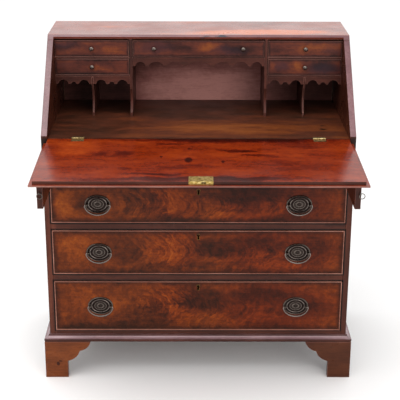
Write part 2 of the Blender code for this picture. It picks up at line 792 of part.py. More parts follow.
def build_lopers(case):
    floor = drawer_levels()["top"][0] + LOPER_CLEARANCE
    outer = INNER - LOPER_CLEARANCE
    eye_z = (floor + LOPER_TOP) / 2
    for side, sign in SIDES.items():
        low, high = sorted((sign * outer, sign * (outer - LOPER_THICKNESS)))
        body = block(
            (low, -LOPER_OUT, floor), (high, LOPER_LENGTH - LOPER_OUT, LOPER_TOP)
        )
        loper = place(f"loper_{side}", body, MAHOGANY, case)
        eye_x = (low + high) / 2 + EYE_SHIFT[side]
        eye_y = -LOPER_OUT - EYE_SHANK - EYE_RADIUS
        lean = RING_LEAN[side]
        eye = ring_mesh(EYE_RADIUS, EYE_WIRE, "yz", 16, 8)
        eye.transform(Matrix.Rotation(-lean, 4, "Y"))
        eye.transform(Matrix.Translation((eye_x, eye_y, eye_z)))
        stem_length = EYE_SHANK + MM + EYE_WIRE
        stem = rod((eye_x, -LOPER_OUT + MM, eye_z), 0.9 * EYE_WIRE, stem_length, "y", 8)
        add(loper, stem, "stem")
        add(loper, eye, "eye")
        # the ring hangs from the bottom of the eye's hole, and swings about its own wire
        hang = EYE_RADIUS - EYE_WIRE - RING_WIRE - GAP
        ring = ring_mesh(RING_RADIUS, RING_WIRE, "xz")
        ring.transform(Matrix.Translation((0, 0, -RING_RADIUS)))
        ring.transform(Matrix.Rotation(-lean, 4, "Y"))
        pivot = (eye_x + hang * math.sin(lean), eye_y, eye_z - hang * math.cos(lean))
        pull = place(f"loper_ring_{side}", ring, BRONZE, case, pivot)
        smooth(pull)


# ---- long drawers -------------------------------------------------------------------
def oval(centre, size, start, length, segments):
    """An oval disc or plug whose flat faces are square to Y."""
    disc = rod((0, start, 0), 0.5, length, "y", segments)
    disc.transform(Matrix.Diagonal((size[0], 1, size[1], 1)))
    disc.transform(Matrix.Translation((centre[0], 0, centre[1])))
    return disc


def bail_points():
    """The bail's centre line: a pin, half an oval, and the other pin."""
    inner = POST_SPACING / 2 - POST_RADIUS
    outer = POST_SPACING / 2 + POST_RADIUS + BAIL_SHOULDER
    width, drop = BAIL_SIZE
    points = [(-inner, 0), (-outer, 0)]
    count = 16
    first = math.radians(9)
    for i in range(count + 1):
        turn = first + (math.pi - 2 * first) * i / count
        points.append((-width * math.cos(turn), -drop * math.sin(turn)))
    return points + [(outer, 0), (inner, 0)]


def build_bail(name, parent, pivot):
    curve = bpy.data.curves.new(name, "CURVE")
    curve.dimensions = "3D"
    curve.bevel_depth = BAIL_WIRE
    curve.bevel_resolution = 2
    curve.use_fill_caps = True
    points = bail_points()
    spline = curve.splines.new("POLY")
    spline.points.add(len(points) - 1)
    for number, (point, (x, z)) in enumerate(zip(spline.points, points)):
        point.co = (x, 0, z, 1)
        if number < 2 or number > len(points) - 3:
            point.radius = BAIL_PIN
    curve.materials.append(BRONZE)
    bail = bpy.data.objects.new(name, curve)
    bail.location = pivot
    bail.parent = parent
    PARTS.objects.link(bail)


def build_long_drawer(case, level, low, high, half_width):
    base = low + SLIDE
    top = high - SLIDE
    middle = (base + top) / 2
    front = block((-half_width, -COCKBEAD_OUT, base), (half_width, FRONT_THICKNESS, top))
    front = place(f"drawer_front_{level}", front, FLAME, case)
    rim = COCKBEAD_WIDTH
    field = block(
        (-half_width + rim, -COCKBEAD_OUT - MM, base + rim), (half_width - rim, 0, top - rim)
    )
    cut(front, field, "field")
    hole_radius = BAIL_WIRE * BAIL_PIN + BAIL_CLEARANCE
    for side, sign in SIDES.items():
        x = sign * HANDLE_X
        add(front, oval((x, middle), PLATE_SIZE, MM, MM + PLATE_THICKNESS, 28), f"plate_{side}")
        for end in (-1, 1):
            post_x = x + end * POST_SPACING / 2
            post = rod((post_x, MM, middle), POST_RADIUS, POST_LENGTH + MM, "y", 12)
            add(front, post, f"post_{side}{end}")
            start = (post_x - 2 * POST_RADIUS, -BAIL_AXIS_OUT, middle)
            hole = rod(start, hole_radius, 4 * POST_RADIUS, "x", 8)
            cut(front, hole, f"hole_{side}{end}")
        build_bail(f"bail_{level}_{side}", case, (x, -BAIL_AXIS_OUT, middle))
    start = FRONT_THICKNESS + GAP
    box = block((-half_width, start, base), (half_width, DRAWER_LENGTH, top - BOX_DROP))
    box = place(f"drawer_box_{level}", box, DRAWER_LINING, case)
    inside = block(
        (-half_width + DRAWER_WALL, 0, base + DRAWER_BOTTOM),
        (half_width - DRAWER_WALL, DRAWER_LENGTH - DRAWER_WALL, top + MM),
    )
    cut(box, inside, "inside")


def build_long_drawers(case):
    guide_inner = INNER - 2 * LOPER_CLEARANCE - LOPER_THICKNESS - GUIDE_THICKNESS
    for level, (low, high) in drawer_levels().items():
        half_width = (guide_inner if level == "top" else INNER) - SLIDE
        build_long_drawer(case, level, low, high, half_width)


# ---- interior -----------------------------------------------------------------------
def scooped_front(setback, foot, top):
    """(y, z) up the hollowed front edge of an upright board, from its foot."""
    front = UNIT_FRONT + setback
    points = [(front, foot), (front, foot + SCOOP_TOE)]
    points += arc(points[-1], (front, top - SCOOP_TOE), -SCOOP_DEPTH, 8)
    return points


def build_partitions(case):
    foot = DESK_TOP + GAP
    head = TOP_UNDER - GAP
    scoop_top = LOWER_SHELF_TOP - SHELF_THICKNESS - VALANCE_DROP
    outline = scooped_front(0, foot, scoop_top)
    outline += [(UNIT_FRONT, head), (BACK_FRONT - GAP, head), (BACK_FRONT - GAP, foot)]
    for side, sign in SIDES.items():
        centre = sign * PARTITION_X
        half = PARTITION_THICKNESS / 2
        board = prism(outline, "x", centre - half, centre + half)
        board = place(f"partition_{side}", board, INTERIOR, case)
        facing = block(
            (centre - FACING_WIDTH / 2, UNIT_FRONT - GAP, LOWER_SHELF_TOP + GAP),
            (centre + FACING_WIDTH / 2, UNIT_FRONT + FACING_DEPTH, head - GAP),
        )
        add(board, facing, "facing")


def valance_outline(low_x, high_x, top, arches):
    """(x, z) round a scalloped strip: arches of these relative widths between round tips."""
    bottom = top - VALANCE_DROP
    room = high_x - low_x - VALANCE_TIP * (len(arches) + 1)
    points = [(low_x, top), (low_x, bottom)]
    x = low_x + VALANCE_TIP
    points.append((x, bottom))
    for share in arches:
        width = room * share / sum(arches)
        rise = min(ARCH_RISE * width, ARCH_LIMIT * VALANCE_DROP)
        points += arc((x, bottom), (x + width, bottom), rise, 8)
        x += width + VALANCE_TIP
        points.append((x, bottom))
    points.append((high_x, top))
    return points


def shelf_with_valance(name, case, low_x, high_x, shelf_top, strips, front):
    """A thin shelf with scalloped strips under its front edge; strips are (x, x, arches)."""
    under = shelf_top - SHELF_THICKNESS
    shelf = block((low_x, front, under), (high_x, BACK_FRONT - GAP, shelf_top))
    shelf = place(name, shelf, INTERIOR, case)
    sunk = 2 * MM
    for number, (strip_low, strip_high, arches) in enumerate(strips):
        outline = valance_outline(strip_low, strip_high, under + sunk, arches)
        strip = prism(outline, "y", front + MM, front + MM + VALANCE_THICKNESS)
        add(shelf, strip, f"valance_{number}")
    return shelf


def build_shelves(case):
    wall = INNER - GAP
    half_partition = PARTITION_THICKNESS / 2 + GAP
    bay = PARTITION_X + half_partition
    divider = DIVIDER_THICKNESS / 2 + GAP
    front = UNIT_FRONT
    behind_facing = UNIT_FRONT + FACING_DEPTH + GAP
    for side, sign in SIDES.items():
        # between the two small drawers, notched behind the partition's facing
        low, high = sorted((sign * bay, sign * wall))
        board = block(
            (low, front, UPPER_SHELF_TOP - SHELF_THICKNESS),
            (high, BACK_FRONT - GAP, UPPER_SHELF_TOP),
        )
        shelf = place(f"drawer_shelf_{side}", board, INTERIOR, case)
        notch_out = PARTITION_X + FACING_WIDTH / 2 + GAP
        notch_low, notch_high = sorted((sign * PARTITION_X, sign * notch_out))
        notch = block(
            (notch_low, front - MM, UPPER_SHELF_TOP - 2 * SHELF_THICKNESS),
            (notch_high, behind_facing, UPPER_SHELF_TOP + SHELF_THICKNESS),
        )
        cut(shelf, notch, "facing_notch")
        inner_strip = sorted((sign * bay, sign * (DIVIDER_X - divider)))
        outer_strip = sorted((sign * (DIVIDER_X + divider), sign * wall))
        strips = [(*inner_strip, (3, 1.6, 3)), (*outer_strip, (3, 1.6, 3))]
        shelf_with_valance(
            f"pigeonhole_shelf_{side}", case, low, high, LOWER_SHELF_TOP, strips, front
        )
    arches = (2, 3, 3, 5, 3, 3, 2)
    strip_half = PARTITION_X - notch_in() - GAP
    strips = [(-strip_half, strip_half, arches)]
    centre = shelf_with_valance(
        "centre_shelf",
        case,
        -PARTITION_X + half_partition,
        PARTITION_X - half_partition,
        UPPER_SHELF_TOP,
        strips,
        front,
    )
    for side, sign in SIDES.items():
        low, high = sorted((sign * (PARTITION_X - notch_in()), sign * PARTITION_X))
        notch = block(
            (low, front - MM, UPPER_SHELF_TOP - SHELF_THICKNESS - VALANCE_DROP - MM),
            (high, behind_facing, UPPER_SHELF_TOP + SHELF_THICKNESS),
        )
        cut(centre, notch, f"facing_notch_{side}")


def notch_in():
    """How far a partition's facing reaches into the bay beside it."""
    return FACING_WIDTH / 2 + GAP


def build_pigeonhole_dividers(case):
    foot = DESK_TOP + GAP
    head = LOWER_SHELF_TOP - SHELF_THICKNESS - GAP
    outline = scooped_front(DIVIDER_SETBACK, foot, head - VALANCE_DROP)
    outline += [
        (UNIT_FRONT, head - VALANCE_DROP),
        (UNIT_FRONT, head),
        (BACK_FRONT - GAP, head),
        (BACK_FRONT - GAP, foot),
    ]
    for side, sign in SIDES.items():
        low = sign * DIVIDER_X - DIVIDER_THICKNESS / 2
        board = prism(outline, "x", low, low + DIVIDER_THICKNESS)
        place(f"pigeonhole_divider_{side}", board, INTERIOR, case)


KNOB_PROFILE = (
    (0.0, 1.0),
    (0.62, 0.96),
    (0.95, 0.78),
    (0.92, 0.58),
    (0.55, 0.40),
    (0.36, 0.26),
    (0.40, 0.10),
    (0.62, 0.02),
    (0.62, -0.12),
    (0.0, -0.12),
)


def add_knob(obj, x, y, z):
    profile = [(r * KNOB_RADIUS, h * KNOB_LENGTH) for r, h in KNOB_PROFILE]
    knob = combine(obj, turned(profile), "UNION", f"knob{round(x / MM)}")
    knob.location = (x, y, z)
    knob.rotation_euler = (math.pi / 2, 0, 0)
    add_screw(knob, 14)


def build_small_drawer(case, name, low_x, high_x, low_z, high_z, knobs):
    front_y = UNIT_FRONT
    back_y = front_y + SMALL_DRAWER_LENGTH
    front = block((low_x, front_y, low_z), (high_x, back_y, high_z))
    drawer = place(name, front, INTERIOR, case)
    inside = block(
        (low_x + SMALL_WALL, front_y + SMALL_FRONT, low_z + SMALL_WALL),
        (high_x - SMALL_WALL, back_y - SMALL_WALL, high_z + MM),
    )
    cut(drawer, inside, "inside")
    for x in knobs:
        add_knob(drawer, x, front_y, (low_z + high_z) / 2)


def build_small_drawers(case):
    wall = INNER - SLIDE
    bay = PARTITION_X + FACING_WIDTH / 2 + SLIDE
    rows = {
        "upper": (UPPER_SHELF_TOP + SLIDE, UPPER_SHELF_TOP + SMALL_DRAWER_ROOM),
        "lower": (
            LOWER_SHELF_TOP + SLIDE,
            LOWER_SHELF_TOP + SMALL_DRAWER_ROOM - SLIDE,
        ),
    }
    for side, sign in SIDES.items():
        low, high = sorted((sign * bay, sign * wall))
        for row, (base, top) in rows.items():
            knobs = [(low + high) / 2]
            build_small_drawer(case, f"small_drawer_{row}_{side}", low, high, base, top, knobs)
    inner = PARTITION_X - FACING_WIDTH / 2 - SLIDE
    base, top = rows["upper"]
    knobs = (-CENTRE_KNOB_X, CENTRE_KNOB_X)
    build_small_drawer(case, "small_drawer_centre", -inner, inner, base, top, knobs)


def build():
    case = empty("case", (0, CASE_BACK_SHIFT, 0))
    build_side_panels(case)
    build_top_board(case)
    build_back_and_bottom(case)
    build_dividers(case)
    build_desk_board(case)
    build_loper_guides(case)
    build_base_moulding(case)
    build_feet(case)
    build_fall(case)
    build_lopers(case)
    build_long_drawers(case)
    build_partitions(case)
    build_shelves(case)
    build_pigeonhole_dividers(case)
    build_small_drawers(case)


build()
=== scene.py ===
"""The looks of a mahogany slant-front secretary desk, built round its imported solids.

Metres, +X right, +Y to the back, +Z up. Boards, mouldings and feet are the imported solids
with eased, worn edges; handles, knobs, locks, beads and drawer boxes are made afresh.
"""

import json
import math

import bmesh
import bpy
from mathutils import Matrix, Vector


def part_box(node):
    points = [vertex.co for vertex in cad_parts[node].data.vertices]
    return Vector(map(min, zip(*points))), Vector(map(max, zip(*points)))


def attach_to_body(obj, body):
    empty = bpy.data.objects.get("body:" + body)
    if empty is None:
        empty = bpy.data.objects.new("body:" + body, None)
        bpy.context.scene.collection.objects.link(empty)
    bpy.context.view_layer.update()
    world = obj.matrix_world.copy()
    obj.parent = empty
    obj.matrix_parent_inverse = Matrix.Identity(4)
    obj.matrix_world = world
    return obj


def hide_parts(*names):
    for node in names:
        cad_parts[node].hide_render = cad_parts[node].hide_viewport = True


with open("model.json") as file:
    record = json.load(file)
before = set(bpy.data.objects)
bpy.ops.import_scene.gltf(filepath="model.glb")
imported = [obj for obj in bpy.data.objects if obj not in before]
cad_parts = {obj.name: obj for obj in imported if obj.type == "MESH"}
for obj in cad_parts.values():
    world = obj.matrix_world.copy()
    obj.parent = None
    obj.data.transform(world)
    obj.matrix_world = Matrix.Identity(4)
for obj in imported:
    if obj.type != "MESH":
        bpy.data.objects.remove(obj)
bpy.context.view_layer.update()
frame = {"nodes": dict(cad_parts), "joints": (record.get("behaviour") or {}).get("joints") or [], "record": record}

MM = 0.001
SIDES = {"left": -1, "right": 1}
LEVELS = ("bottom", "lower", "upper", "top")
BODY_OF = {
    node: body
    for body, nodes in frame["record"]["behaviour"]["bodies"].items()
    for node in nodes
}
JOINTS = {joint["name"]: joint for joint in frame["joints"]}

# ---- sizes of the fine work -----------------------------------------------------------
EYE_REACH = 8.9 * MM  # how far a loper's screw eye stands out of its end
EYE_RADIUS = 3.2 * MM
EYE_WIRE = 1.0 * MM
RING_RADIUS = 7.5 * MM
RING_WIRE = 1.2 * MM
FRONT_THICKNESS = 20 * MM
BEAD_WIDTH = 3 * MM
BEAD_OUT = 2 * MM
BEAD_DEPTH = 6 * MM  # how far the bead is let into the front
BEAD_GAP = 0.8 * MM  # how far the bead is planed back from its opening
TOP_GAP = 1.8 * MM  # the same at the top, where the drawer has worn down
PLATE_SIZE = (77 * MM, 58.5 * MM)
PLATE_THICKNESS = 1.6 * MM
# the plate's ridges take the paler bronze: rubbed wear and a painted highlight
PLATE_RIDGES = ((0.71, 0.025), (0.47, 0.025), (0.24, 0.03))  # (share of the plate, half the ridge)
POST_SPACING = 63 * MM
POST_RADIUS = 3.8 * MM
BAIL_HALF_WIDTH = 38.3 * MM
BAIL_DROP = 31 * MM
BAIL_WIRE = 2.2 * MM
BAIL_BEHIND = 9.5 * MM  # from a bail's pivot back to the drawer's face
KEYHOLE = (8.0 * MM, 16.0 * MM)  # how wide and high the hole is, and the brass round it
ESCUTCHEON = (10.5 * MM, 19.0 * MM)
KEYHOLE_DROP = 22 * MM  # from the top of a drawer front to the middle of its keyhole
SMALL_FRONT = 10 * MM
SMALL_WALL = 6 * MM
SMALL_GAP = 0.6 * MM  # how far a small front is planed back from its opening
KNOB_RADIUS = 7 * MM
KNOB_LENGTH = 13 * MM
CENTRE_KNOB_X = 136 * MM
DRAWER_WALL = 12 * MM
DRAWER_BOTTOM = 7 * MM
TAIL_REACH = 14 * MM  # how far a side's dovetails run into the front
TAIL_PITCH = 34 * MM
FALL_DROOP = math.radians(2.2)  # how far the open fall hangs below level
FALL_THICKNESS = 14.2 * MM  # its tongue and its lip together
LOCK_DEPTH = 38 * MM  # from the lock's front edge to its back
LOCK_SEAM = 64 * MM
SUNK = 0.05 * MM  # how far screw heads are sunk in their plates
HINGE_FACE = 1.4 * MM  # how far the leaves' faces lie under the hinge's axis
LOPER_THICKNESS = 16.5 * MM
LOPER_GAP = 1 * MM  # between a loper and its guide


# ---- camera, light and floor ------------------------------------------------------------
def set_camera():
    """A long lens a little left of the middle, at standing eye height, looking down."""
    place = Vector((-0.01735, -3.10203, 1.69731))
    pitch, yaw, roll = (math.radians(angle) for angle in (20.105, 0.41, 0.234))
    ahead = Vector(
        (
            math.sin(yaw) * math.cos(pitch),
            math.cos(yaw) * math.cos(pitch),
            -math.sin(pitch),
        )
    )
    right = Vector((math.cos(yaw), -math.sin(yaw), 0))
    down = ahead.cross(right)
    across = math.cos(roll) * right - math.sin(roll) * down
    up = -(math.sin(roll) * right + math.cos(roll) * down)
    data = bpy.data.cameras.new("camera")
    data.lens = 98.485
    data.sensor_width = 36
    camera = bpy.data.objects.new("camera", data)
    camera.matrix_world = Matrix.Translation(place) @ Matrix((across, up, -ahead)).transposed().to_4x4()
    bpy.context.scene.collection.objects.link(camera)
    bpy.context.scene.camera = camera


def soft_light(name, place, target, size, power, colour):
    data = bpy.data.lights.new(name, "AREA")
    data.shape = "RECTANGLE"
    data.size, data.size_y = size
    data.energy = power
    data.color = colour
    lamp = bpy.data.objects.new(name, data)
    lamp.location = place
    lamp.rotation_euler = (Vector(target) - Vector(place)).to_track_quat("-Z", "Y").to_euler()
    bpy.context.scene.collection.objects.link(lamp)


def set_studio():
    """A white studio: an even white surround, a big soft light above and one in front."""
    scene = bpy.context.scene
    scene.view_settings.view_transform = "Standard"
    world = bpy.data.worlds.new("studio")
    scene.world = world
    world.use_nodes = True
    background = world.node_tree.nodes["Background"]
    background.inputs["Color"].default_value = (1.0, 1.0, 1.0, 1)
    background.inputs["Strength"].default_value = 1.06
    soft_light("overhead", (-0.6, -1.2, 3.4), (0, 0, 0.6), (2.6, 2.0), 60, (1, 0.98, 0.96))
    soft_light("front", (1.6, -3.6, 1.9), (0, 0, 0.5), (1.8, 1.8), 30, (1, 0.96, 0.92))
    bpy.ops.mesh.primitive_grid_add(x_subdivisions=8, y_subdivisions=8, size=60)
    floor = bpy.context.object
    floor.name = "studio_floor"
    material, tree = new_material("pale_matt_floor")
    speckle = add(tree, "TexNoise", {"Scale": per_mm(400), "Detail": 2.0})
    shade = add(tree, "ValToRGB", {"Fac": speckle}, stops=[(0.3, "#f8f8f8"), (0.7, "#fbfbfb")])
    finish_shader(tree, {"Base Color": shade, "Roughness": 0.9})
    floor.data.materials.append(material)


# ---- material helpers -----------------------------------------------------------------
def linear(code):
    """An sRGB hex colour as linear RGBA."""
    parts = [int(code[i : i + 2], 16) / 255 for i in (1, 3, 5)]
    return (*[c / 12.92 if c <= 0.04045 else ((c + 0.055) / 1.055) ** 2.4 for c in parts], 1.0)


def per_mm(size):
    """The texture scale whose features are about this many millimetres across."""
    return 1000.0 / size


def add(tree, kind, inputs=None, stops=None, **settings):
    """Adds a node, sets its properties and its inputs, and links those that are nodes."""
    made = tree.nodes.new("ShaderNode" + kind)
    for name, value in settings.items():
        setattr(made, name, value)
    for key, value in (inputs or {}).items():
        if isinstance(value, bpy.types.Node):
            value = value.outputs[0]
        if isinstance(value, bpy.types.NodeSocket):
            tree.links.new(value, made.inputs[key])
        else:
            made.inputs[key].default_value = value
    if stops:
        ramp = made.color_ramp
        while len(ramp.elements) < len(stops):
            ramp.elements.new(0.5)
        for element, (position, code) in zip(ramp.elements, stops):
            element.position = position
            element.color = linear(code)
    return made


def new_material(name):
    material = bpy.data.materials.new(name)
    material.use_nodes = True
    material.node_tree.nodes.clear()
    return material, material.node_tree


def finish_shader(tree, inputs):
    shader = add(tree, "BsdfPrincipled", inputs)
    add(tree, "OutputMaterial", {"Surface": shader})


def stretched(grain, share):
    """Mapping scales that draw a pattern out along the grain."""
    return tuple(share if axis == grain else 1.0 for axis in "xyz")


# ---- wood -----------------------------------------------------------------------------
def warped(tree, place, size, amount):
    """The place, pushed about by a soft noise, so that edges of patches run ragged."""
    noise = add(tree, "TexNoise", {"Vector": place, "Scale": per_mm(size), "Detail": 4.0})
    middle = (0.5, 0.5, 0.5)
    centred = add(
        tree, "VectorMath", {0: noise.outputs["Color"], 1: middle}, operation="SUBTRACT"
    )
    push = add(tree, "VectorMath", {0: centred, "Scale": amount * MM}, operation="SCALE")
    return add(tree, "VectorMath", {0: place, 1: push}, operation="ADD")


def patches(tree, place, spots):
    """The strongest of some soft patches; a spot is (centre, radii, strength) in metres."""
    total = None
    for centre, radii, strength in spots:
        shift = tuple(-c / r for c, r in zip(centre, radii))
        scale = tuple(1 / r for r in radii)
        mapped = add(tree, "Mapping", {"Vector": place, "Location": shift, "Scale": scale})
        reach = add(tree, "VectorMath", {0: mapped}, operation="LENGTH").outputs["Value"]
        spot = fading(tree, reach, 1.15, 0.35, strength)
        if total is None:
            total = spot
        else:
            total = add(tree, "Math", {0: total, 1: spot}, operation="MAXIMUM")
    return total


def fading(tree, distance, nothing, full, most=1.0):
    """Rises softly from zero at the distance for nothing to the most at the one for full."""
    inputs = {"Value": distance, "From Min": nothing, "From Max": full, "To Max": most}
    return add(tree, "MapRange", inputs, interpolation_type="SMOOTHSTEP")


def past_edge(tree, place, boxes):
    """How far outside the nearest box the place is, seen from the front; negative inside."""
    parts = add(tree, "SeparateXYZ", {0: place})
    nearest = None
    for low, high in boxes:
        furthest = None
        for axis, name in ((0, "X"), (2, "Z")):
            middle = (low[axis] + high[axis]) / 2
            half = (high[axis] - low[axis]) / 2
            offset = add(tree, "Math", {0: parts.outputs[name], 1: middle}, operation="SUBTRACT")
            size = add(tree, "Math", {0: offset}, operation="ABSOLUTE")
            past = add(tree, "Math", {0: size, 1: half}, operation="SUBTRACT")
            if furthest is None:
                furthest = past
            else:
                furthest = add(tree, "Math", {0: furthest, 1: past}, operation="MAXIMUM")
        if nearest is None:
            nearest = furthest
        else:
            nearest = add(tree, "Math", {0: nearest, 1: furthest}, operation="MINIMUM")
    return nearest


def feather(tree, place, spine, width):
    """Strokes that branch up and down and outwards from a spine at this height."""
    slope = 0.85
    parts = add(tree, "SeparateXYZ", {0: place})
    above = add(tree, "Math", {0: parts.outputs["Z"], 1: spine}, operation="SUBTRACT")
    bend = (14 * MM) ** 2
    square = add(tree, "Math", {0: above, 1: above, 2: bend}, operation="MULTIPLY_ADD")
    away = add(tree, "Math", {0: square}, operation="SQRT")
    x = parts.outputs["X"]
    across = add(tree, "Math", {0: x, 1: slope, 2: away}, operation="MULTIPLY_ADD")
    along = add(tree, "Math", {0: away, 1: -slope, 2: x}, operation="MULTIPLY_ADD")
    slow = add(tree, "Math", {0: along, 1: 0.2}, operation="MULTIPLY")
    drawn = add(tree, "CombineXYZ", {0: across, 1: slow, 2: parts.outputs["Y"]})
    return add(
        tree,
        "TexNoise",
        {
            "Vector": drawn,
            "Scale": per_mm(width),
            "Detail": 5.0,
            "Roughness": 0.6,
            "Distortion": 0.7,
        },
    )


def wood(
    name,
    grain,
    tones,
    clouds=1.3,
    streaks=0.9,
    mottled=0.3,
    cloud_size=70,
    streak_size=7,
    plume=None,
    dark_spots=(),
    light_spots=(),
    knots=(),
    bloom=None,
    rim=None,
    grime_and_gap_shade=None,
    gloss=(0.24, 0.38),
    specular=0.15,
    coat=0.03,
    pore_tone=0.5,
):
    """Sawn and planed timber under old varnish.

    Clouds and fine streaks run along the grain, with pores as short dark dashes. Tones go
    from dark to light, and gloss is the roughness where polished and where dulled. A plume
    is (spine height, spots where it shows, weight), a bloom is (colour, spots, how it
    blends), a rim is (low corner, high corner, width) of a border darkened towards its
    edges, and grime is (boxes, width) of a dark border round each drawer's opening:
    painted shade of the gap, with old wax.
    """
    material, tree = new_material(name)
    place = add(tree, "TexCoord").outputs["Object"]
    soft = warped(tree, place, 90, 40)
    ragged = warped(tree, soft, 14, 16)
    broad = add(tree, "Mapping", {"Vector": soft, "Scale": stretched(grain, 0.3)})
    fine = add(tree, "Mapping", {"Vector": place, "Scale": stretched(grain, 0.06)})
    figure = []
    for at, size, detail, roughness, weight in (
        (broad, cloud_size, 5.0, 0.6, clouds),
        (fine, streak_size, 4.0, 0.62, streaks),
        (ragged, 16, 4.0, 0.65, mottled),
    ):
        shape = {"Vector": at, "Scale": per_mm(size), "Detail": detail, "Roughness": roughness}
        figure.append((add(tree, "TexNoise", shape), weight))
    streak = figure[1][0]
    tone = 0.5 - 0.5 * sum(weight for _, weight in figure)
    if plume:
        spine, where, weight = plume
        strokes = feather(tree, ragged, spine, 13)
        centred = add(tree, "Math", {0: strokes, 1: 0.5}, operation="SUBTRACT")
        shown = patches(tree, soft, where)
        strokes = add(tree, "Math", {0: centred, 1: shown}, operation="MULTIPLY")
        figure.append((strokes, weight))
    if light_spots:
        figure.append((patches(tree, ragged, light_spots), 1.0))
    if dark_spots:
        figure.append((patches(tree, ragged, dark_spots), -1.0))
    # the rim darkens the wood towards the edges of its box
    if rim:
        low, high, width = rim
        edge = past_edge(tree, warped(tree, place, 12, 8), [(low, high)])
        figure.append((fading(tree, edge, -width, -2 * MM), -0.35))
    # stains are the pores and blooms, and also the painted shade round the openings
    stains_and_shade = []
    # painted shade: a near-black border round each opening stands in for the gap's shadow, with old wax
    if grime_and_gap_shade:
        boxes, width = grime_and_gap_shade
        grime_and_shade_mask = fading(tree, past_edge(tree, place, boxes), width, 0.3 * width)
        figure.append((grime_and_shade_mask, -0.4))
        share = add(tree, "Math", {0: grime_and_shade_mask, 1: 0.95}, operation="MULTIPLY")
        stains_and_shade.append((share, "#0b0504", "MIX"))
    if knots:
        figure.append((patches(tree, warped(tree, place, 9, 7), knots), -1.0))
    for pattern, weight in figure:
        inputs = {0: pattern, 1: weight, 2: tone}
        tone = add(tree, "Math", inputs, operation="MULTIPLY_ADD")
    last = len(tones) - 1
    steps = [(i / last, code) for i, code in enumerate(tones)]
    colour = add(tree, "ValToRGB", {"Fac": tone}, stops=steps)
    if bloom:
        code, where, blend = bloom
        stains_and_shade.append((patches(tree, ragged, where), code, blend))
    # the pores of mahogany are about 0.2 mm wide; they are drawn 1.4 mm wide so that they show
    dashes = add(tree, "Mapping", {"Vector": place, "Scale": stretched(grain, 0.09)})
    pores = add(tree, "TexNoise", {"Vector": dashes, "Scale": per_mm(1.4), "Detail": 2.0})
    depth = {"Value": pores, "From Min": 0.58, "From Max": 0.72, "To Max": pore_tone}
    pore_depth = add(tree, "MapRange", depth)
    stains_and_shade.append((pore_depth, tones[0], "MIX"))
    for share, code, blend in stains_and_shade:
        inputs = {"Factor": share, "A": colour, "B": linear(code)}
        colour = add(tree, "Mix", inputs, data_type="RGBA", blend_type=blend).outputs[2]
    worn = add(tree, "TexNoise", {"Vector": place, "Scale": per_mm(90), "Detail": 5.0})
    polished, dulled = gloss
    wear = {"From Min": 0.35, "From Max": 0.65, "To Min": dulled, "To Max": polished}
    shine = add(tree, "MapRange", {"Value": worn, **wear})
    relief = {"Height": pore_depth, "Strength": 0.2, "Distance": 0.12 * MM}
    relief = add(tree, "Bump", relief, invert=True)
    grooves = {"Height": streak, "Strength": 0.15, "Distance": 0.15 * MM, "Normal": relief}
    finish_shader(
        tree,
        {
            "Base Color": colour,
            "Roughness": shine,
            "Normal": add(tree, "Bump", grooves),
            "Coat Weight": coat,
            "Coat Roughness": 0.12,
            "IOR": 1.5,
            "Specular IOR Level": specular,
        },
    )
    return material


# ---- metals -----------------------------------------------------------------------------
def brass(name, tones):
    """Cast and filed brass, unpolished for years: yellow where rubbed, brown in the hollows."""
    material, tree = new_material(name)
    place = add(tree, "TexCoord").outputs["Object"]
    spread = {"Vector": place, "Scale": per_mm(7), "Detail": 6.0, "Roughness": 0.65}
    tarnish = add(tree, "TexNoise", spread)
    colour = add(tree, "ValToRGB", {"Fac": tarnish}, stops=list(zip((0.3, 0.5, 0.68), tones)))
    wear = {"From Min": 0.3, "From Max": 0.7, "To Min": 0.5, "To Max": 0.26}
    shine = add(tree, "MapRange", {"Value": tarnish, **wear})
    along = add(tree, "Mapping", {"Vector": place, "Scale": (0.08, 1, 1)})
    # a file's scratches are finer than this; they are drawn 0.6 mm apart so that they show
    scratches = add(tree, "TexNoise", {"Vector": along, "Scale": per_mm(0.6), "Detail": 2.0})
    relief = {"Height": scratches, "Strength": 0.25, "Distance": 0.1 * MM}
    relief = add(tree, "Bump", relief)
    inputs = {"Base Color": colour, "Metallic": 1.0, "Roughness": shine, "Normal": relief}
    finish_shader(tree, inputs)
    return material


def bronze(name, dull, ridge_colour):
    """Stamped and cast handle metal under a dark patina, brighter on its ridges: partly rubbed
    wear, partly a painted highlight.
    """
    material, tree = new_material(name)
    place = add(tree, "TexCoord").outputs["Object"]
    spread = {"Vector": place, "Scale": per_mm(5), "Detail": 6.0, "Roughness": 0.6}
    patina = add(tree, "TexNoise", spread)
    # pointiness picks the ridges for the paler colour: rubbed wear and a painted highlight
    sharp = add(tree, "NewGeometry").outputs["Pointiness"]
    ridge = add(tree, "MapRange", {"Value": sharp, "From Min": 0.5, "From Max": 0.59})
    dark = add(tree, "ValToRGB", {"Fac": patina}, stops=list(zip((0.3, 0.7), dull)))
    rubbed = {"Factor": ridge, "A": dark, "B": linear(ridge_colour)}
    colour = add(tree, "Mix", rubbed, data_type="RGBA").outputs[2]
    wear = {"From Min": 0.3, "From Max": 0.7, "To Min": 0.24, "To Max": 0.4}
    shine = add(tree, "MapRange", {"Value": patina, **wear})
    relief = add(tree, "Bump", {"Height": patina, "Strength": 0.2, "Distance": 0.2 * MM})
    inputs = {"Base Color": colour, "Metallic": 1.0, "Roughness": shine, "Normal": relief}
    finish_shader(tree, inputs)
    return material


def middle_of(node):
    low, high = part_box(node)
    return (low + high) / 2


